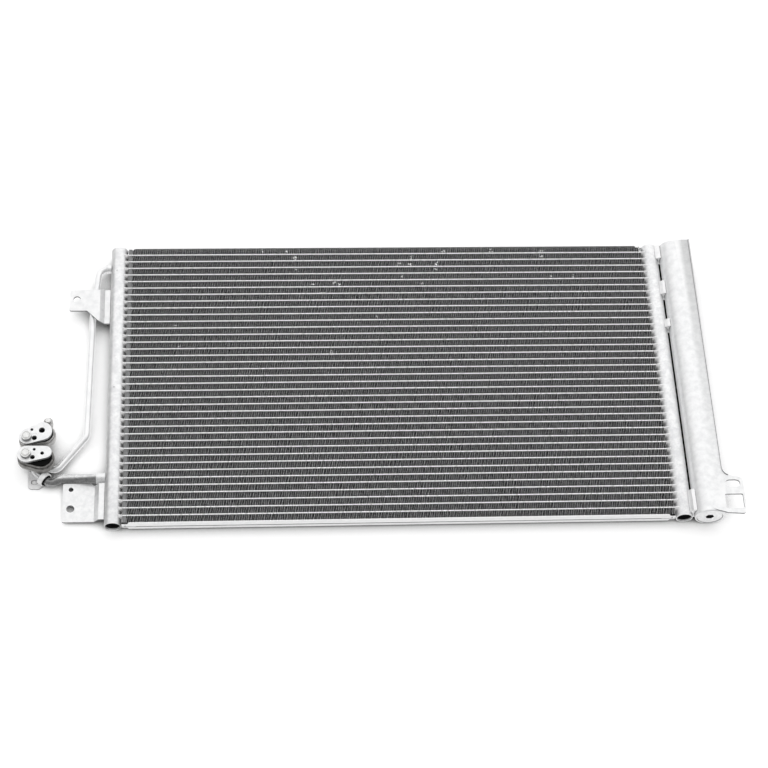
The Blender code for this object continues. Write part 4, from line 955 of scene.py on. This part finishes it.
# Painted reflection: the lower pipe's tone is darker, and its front half darker still
LOWER_PIPE_PAINTED_REFLECTION = metal("lower_pipe_painted_reflection", (0.90, 0.902, 0.905), (0.62, 0.625, 0.63), 0.30, metallic=0.9,
                   mottle=0.5, blotch=260, grain_depth=0.000006, pit_depth=0.000004, seam_shade=False,
                   rubs=False, bands=(("Y", -0.1240, -0.1266, 0.36, 0.36),))


def run_points(corners):
    """Points along straight runs whose corners are rounded to their radii."""
    points = [core_middle + Vector(corners[0][:3])]
    for i in range(1, len(corners) - 1):
        here = core_middle + Vector(corners[i][:3])
        before = (core_middle + Vector(corners[i - 1][:3]) - here).normalized()
        after = (core_middle + Vector(corners[i + 1][:3]) - here).normalized()
        half = before.angle(after) / 2
        radius = corners[i][3]
        reach = radius / math.tan(half)
        centre = here + (before + after).normalized() * (radius / math.sin(half))
        first = here + before * reach - centre
        last = here + after * reach - centre
        sweep = first.angle(last)
        steps = max(3, round(math.degrees(sweep) / PIPE_TURN_STEP))
        for step in range(steps + 1):
            t = step / steps
            a = first * (math.sin((1 - t) * sweep) / math.sin(sweep))
            b = last * (math.sin(t * sweep) / math.sin(sweep))
            points.append(centre + a + b)
    points.append(core_middle + Vector(corners[-1][:3]))
    return points


def bent_pipe(name, corners, radius, node, material):
    """A pipe swept round a curve, then settled into a mesh."""
    route = bpy.data.curves.new(name, "CURVE")
    route.dimensions = "3D"
    route.bevel_depth = radius
    route.bevel_resolution = PIPE_ROUNDNESS
    route.use_fill_caps = True
    line = route.splines.new("POLY")
    points = run_points(corners)
    line.points.add(len(points) - 1)
    for point, spot in zip(line.points, points):
        point.co = (*spot, 1)
    piece = bpy.data.objects.new(name, route)
    scene.collection.objects.link(piece)
    only(piece)
    bpy.ops.object.convert(target="MESH")
    piece = bpy.context.object
    bpy.ops.object.mode_set(mode="EDIT")
    bpy.ops.mesh.select_all(action="SELECT")
    bpy.ops.mesh.remove_doubles(threshold=POINT_MERGE)
    bpy.ops.mesh.normals_make_consistent(inside=False)
    bpy.ops.object.mode_set(mode="OBJECT")
    bpy.ops.object.shade_smooth_by_angle(angle=math.radians(PIPE_SMOOTH))
    fit_out(piece, material, "pipe_aluminium", node)


bent_pipe("upper_bent_pipe", UPPER_RUN, UPPER_RADIUS, "upper_pipe", PIPE_METAL)
bent_pipe("lower_bent_pipe", LOWER_RUN, LOWER_RADIUS, "lower_pipe", LOWER_PIPE_PAINTED_REFLECTION)


def turned(name, profile, place, turn=(0, 0, 0)):
    """A turned piece: (radius, height) points spun about the local Z axis at a place."""
    mesh = bpy.data.meshes.new(name)
    mesh.from_pydata([(r, 0, h) for r, h in profile], [(i, i + 1) for i in range(len(profile) - 1)], [])
    piece = bpy.data.objects.new(name, mesh)
    scene.collection.objects.link(piece)
    only(piece)
    bpy.ops.object.mode_set(mode="EDIT")
    bpy.ops.mesh.select_all(action="SELECT")
    bpy.ops.mesh.spin(steps=SPUN_STEPS, angle=math.tau, center=(0, 0, 0), axis=(0, 0, 1))
    bpy.ops.mesh.select_all(action="SELECT")
    bpy.ops.mesh.remove_doubles(threshold=POINT_MERGE)
    bpy.ops.mesh.normals_make_consistent(inside=False)
    bpy.ops.object.mode_set(mode="OBJECT")
    piece.rotation_euler = turn
    piece.location = place
    settle(piece)
    bpy.ops.object.shade_smooth_by_angle(angle=math.radians(SMOOTH_ANGLE))
    return piece


def ferrule(word, radius):
    """A ferrule along X with a rolled bead at its mouth, which ends inside the header's wall."""
    low, high = map(Vector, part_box(f"{word}_pipe_ferrule"))
    length = high.x - low.x
    outer = radius + FERRULE_WALL
    slim = outer - FERRULE_BEAD
    back, front, nose = (step * FERRULE_BEAD for step in BEAD_STEPS)
    profile = [(radius, length), (slim, length), (slim, back), (outer, front), (outer, nose),
               (outer - nose, 0), (radius, 0)]
    place = (low.x, (low.y + high.y) / 2, (low.z + high.z) / 2)
    piece = turned(f"{word}_ferrule", profile, place, (0, math.pi / 2, 0))
    fit_out(piece, PIPE_METAL, "machined_aluminium", f"{word}_pipe_ferrule")


ferrule("upper", UPPER_RADIUS)
ferrule("lower", LOWER_RADIUS)

# Block fittings
# Aluminium blocks brazed to the pipe ends, the lower one painted darker as shade.  A round-headed steel
# screw holds a sheet cover and a black rubber seal on each, and the upper one has a small hexagon bolt in
# its lug.
SCREW_HEAD = 0.0058
SCREW_RISE = 0.0045
SCREW_SHANK = 0.0028
SCREW_GROOVE = 0.0006
SCREW_OUTLINE = ((0, 0), (0.62, 0), (0.70, 1), (0.76, 1), (0.82, 0.2), (0.94, 0.6), (1, 2))
COVER_LEAN = 0.85
SKIN_SCALE = 3000
SKIN_DEPTH = 0.00005
BLOCK_METALS = {
    "upper": metal("machined_aluminium", (0.66, 0.65, 0.64), (0.36, 0.355, 0.35), 0.46, metallic=0.5,
                   blotch=240, grain_depth=0.00004, pit_depth=0.00008),
    # Painted shade: the lower block is a darker copy of the upper one's metal
    "lower": metal("lower_block_painted_shade", (0.34, 0.33, 0.32), (0.15, 0.145, 0.14), 0.50, metallic=0.6,
                   blotch=240, grain_depth=0.00004, pit_depth=0.00008),
}
STEEL = metal("plated_steel", (0.90, 0.90, 0.89), (0.74, 0.74, 0.73), 0.30, metallic=0.85, blotch=400)


def rubber(name):
    """Black rubber with a dull skin."""
    material, tree, shader = tree_of(name)
    skin = noise(tree, SKIN_SCALE, detail=4)
    tone = ramp(tree, skin, ((0.35, (0.002, 0.002, 0.002)), (0.7, (0.006, 0.006, 0.006))))
    tree.links.new(tone, shader.inputs["Base Color"])
    tree.links.new(spread(tree, skin, 0.55, 0.8), shader.inputs["Roughness"])
    shader.inputs["Specular IOR Level"].default_value = 0.08
    relief(tree, shader, (skin, SKIN_DEPTH))
    return material


def round_screw(word):
    """A cover's screw: a rounded head with a groove round its middle, and a plain shank.

    The head's outline is given in shares of its radius and in depths of the groove.
    """
    low, high = map(Vector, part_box(f"{word}_cover_screw"))
    middle = (low + high) / 2
    shoulder = high.z - SCREW_RISE
    profile = [(share * SCREW_HEAD, high.z - sink * SCREW_GROOVE) for share, sink in SCREW_OUTLINE]
    profile += [(SCREW_HEAD, shoulder), (SCREW_SHANK, shoulder), (SCREW_SHANK, low.z), (0, low.z)]
    return turned(f"{word}_round_screw", profile, (middle.x, middle.y, 0))


RUBBER = rubber("black_rubber")
for word in ("upper", "lower"):
    node = f"{word}_fitting"
    block = refined(f"{word}_fitting_block", node, EDGE_ROUNDING)
    fit_out(block, BLOCK_METALS[word], "machined_aluminium", node)
    pad = refined(f"{word}_seal_pad", f"{node}_seal", EDGE_ROUNDING)
    fit_out(pad, RUBBER, "black_rubber", f"{node}_seal")
    cover = refined(f"{word}_blanking_cover", f"{node}_cover", EDGE_ROUNDING)
    fit_out(cover, SHEET_METAL, "sheet_aluminium", f"{node}_cover")
    # The cover's side walls and rounded edges take the painted shade
    edged(cover, EDGE_PAINTED_SHADE, lambda face: abs(face.normal.z) < COVER_LEAN)
    screw = round_screw(word)
    fit_out(screw, STEEL, "plated_steel", f"{word}_cover_screw")
    # The sides of the screw's head take the painted shade
    edged(screw, EDGE_PAINTED_SHADE, lambda face: abs(face.normal.z) < EDGE_LEAN)
fit_out(refined("lug_hexagon_bolt", "lug_bolt", EDGE_ROUNDING), STEEL, "plated_steel", "lug_bolt")

# Cushioned clamp
# A band of bright sheet metal with a slotted tab, bent round a black rubber liner on the lower pipe.  It
# holds the pipe to the vehicle.
CLAMP_TAB = 0.0018
LINER_ROUNDING = 0.0002
BAND_METAL = metal("clamp_band_metal", (0.97, 0.97, 0.97), (0.86, 0.86, 0.865), 0.45, metallic=0.35,
                   blotch=300, mottle=0.2)
clamp = refined("clamp_band", "pipe_clamp", EDGE_ROUNDING)
fit_out(clamp, BAND_METAL, "sheet_aluminium", "pipe_clamp")
# The side walls of the tab, its slot among them, take the painted shade
edged(clamp, EDGE_PAINTED_SHADE, lambda face: abs(face.normal.z) < EDGE_LEAN and face.center.z < CLAMP_TAB)
liner = refined("clamp_cushion", "clamp_liner", LINER_ROUNDING)
fit_out(liner, RUBBER, "black_rubber", "clamp_liner")

# Hidden inner pieces
# Sheet baffles brazed into the headers, and in the receiver a felt bag of desiccant, a nylon filter and the
# plug's rubber ring.  No side shows them, so they keep the frame's shapes.
WEAVE_DEPTH = 0.0001


def cloth(name, pale, dark, weave):
    """Felt or moulded nylon: a fine woven or granular relief."""
    material, tree, shader = tree_of(name)
    threads = noise(tree, weave, detail=3)
    tree.links.new(ramp(tree, threads, ((0.3, dark), (0.7, pale))), shader.inputs["Base Color"])
    tree.links.new(spread(tree, threads, 0.7, 0.95), shader.inputs["Roughness"])
    relief(tree, shader, (threads, WEAVE_DEPTH))
    return material


def repaint(node, material):
    """Give a CAD node that stays visible its detailed material."""
    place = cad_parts[node].material_slots[0]
    place.link = "OBJECT"
    place.material = material


repaint("desiccant_bag", cloth("felt_bag", (0.85, 0.83, 0.78), (0.70, 0.68, 0.62), 2500))
repaint("receiver_filter", cloth("filter_nylon", (0.88, 0.87, 0.82), (0.78, 0.77, 0.72), 1500))
repaint("plug_seal", RUBBER)
for node in ("left_lower_baffle", "left_upper_baffle", "right_lower_baffle", "right_upper_baffle"):
    repaint(node, RECESS_PAINTED_SHADE)
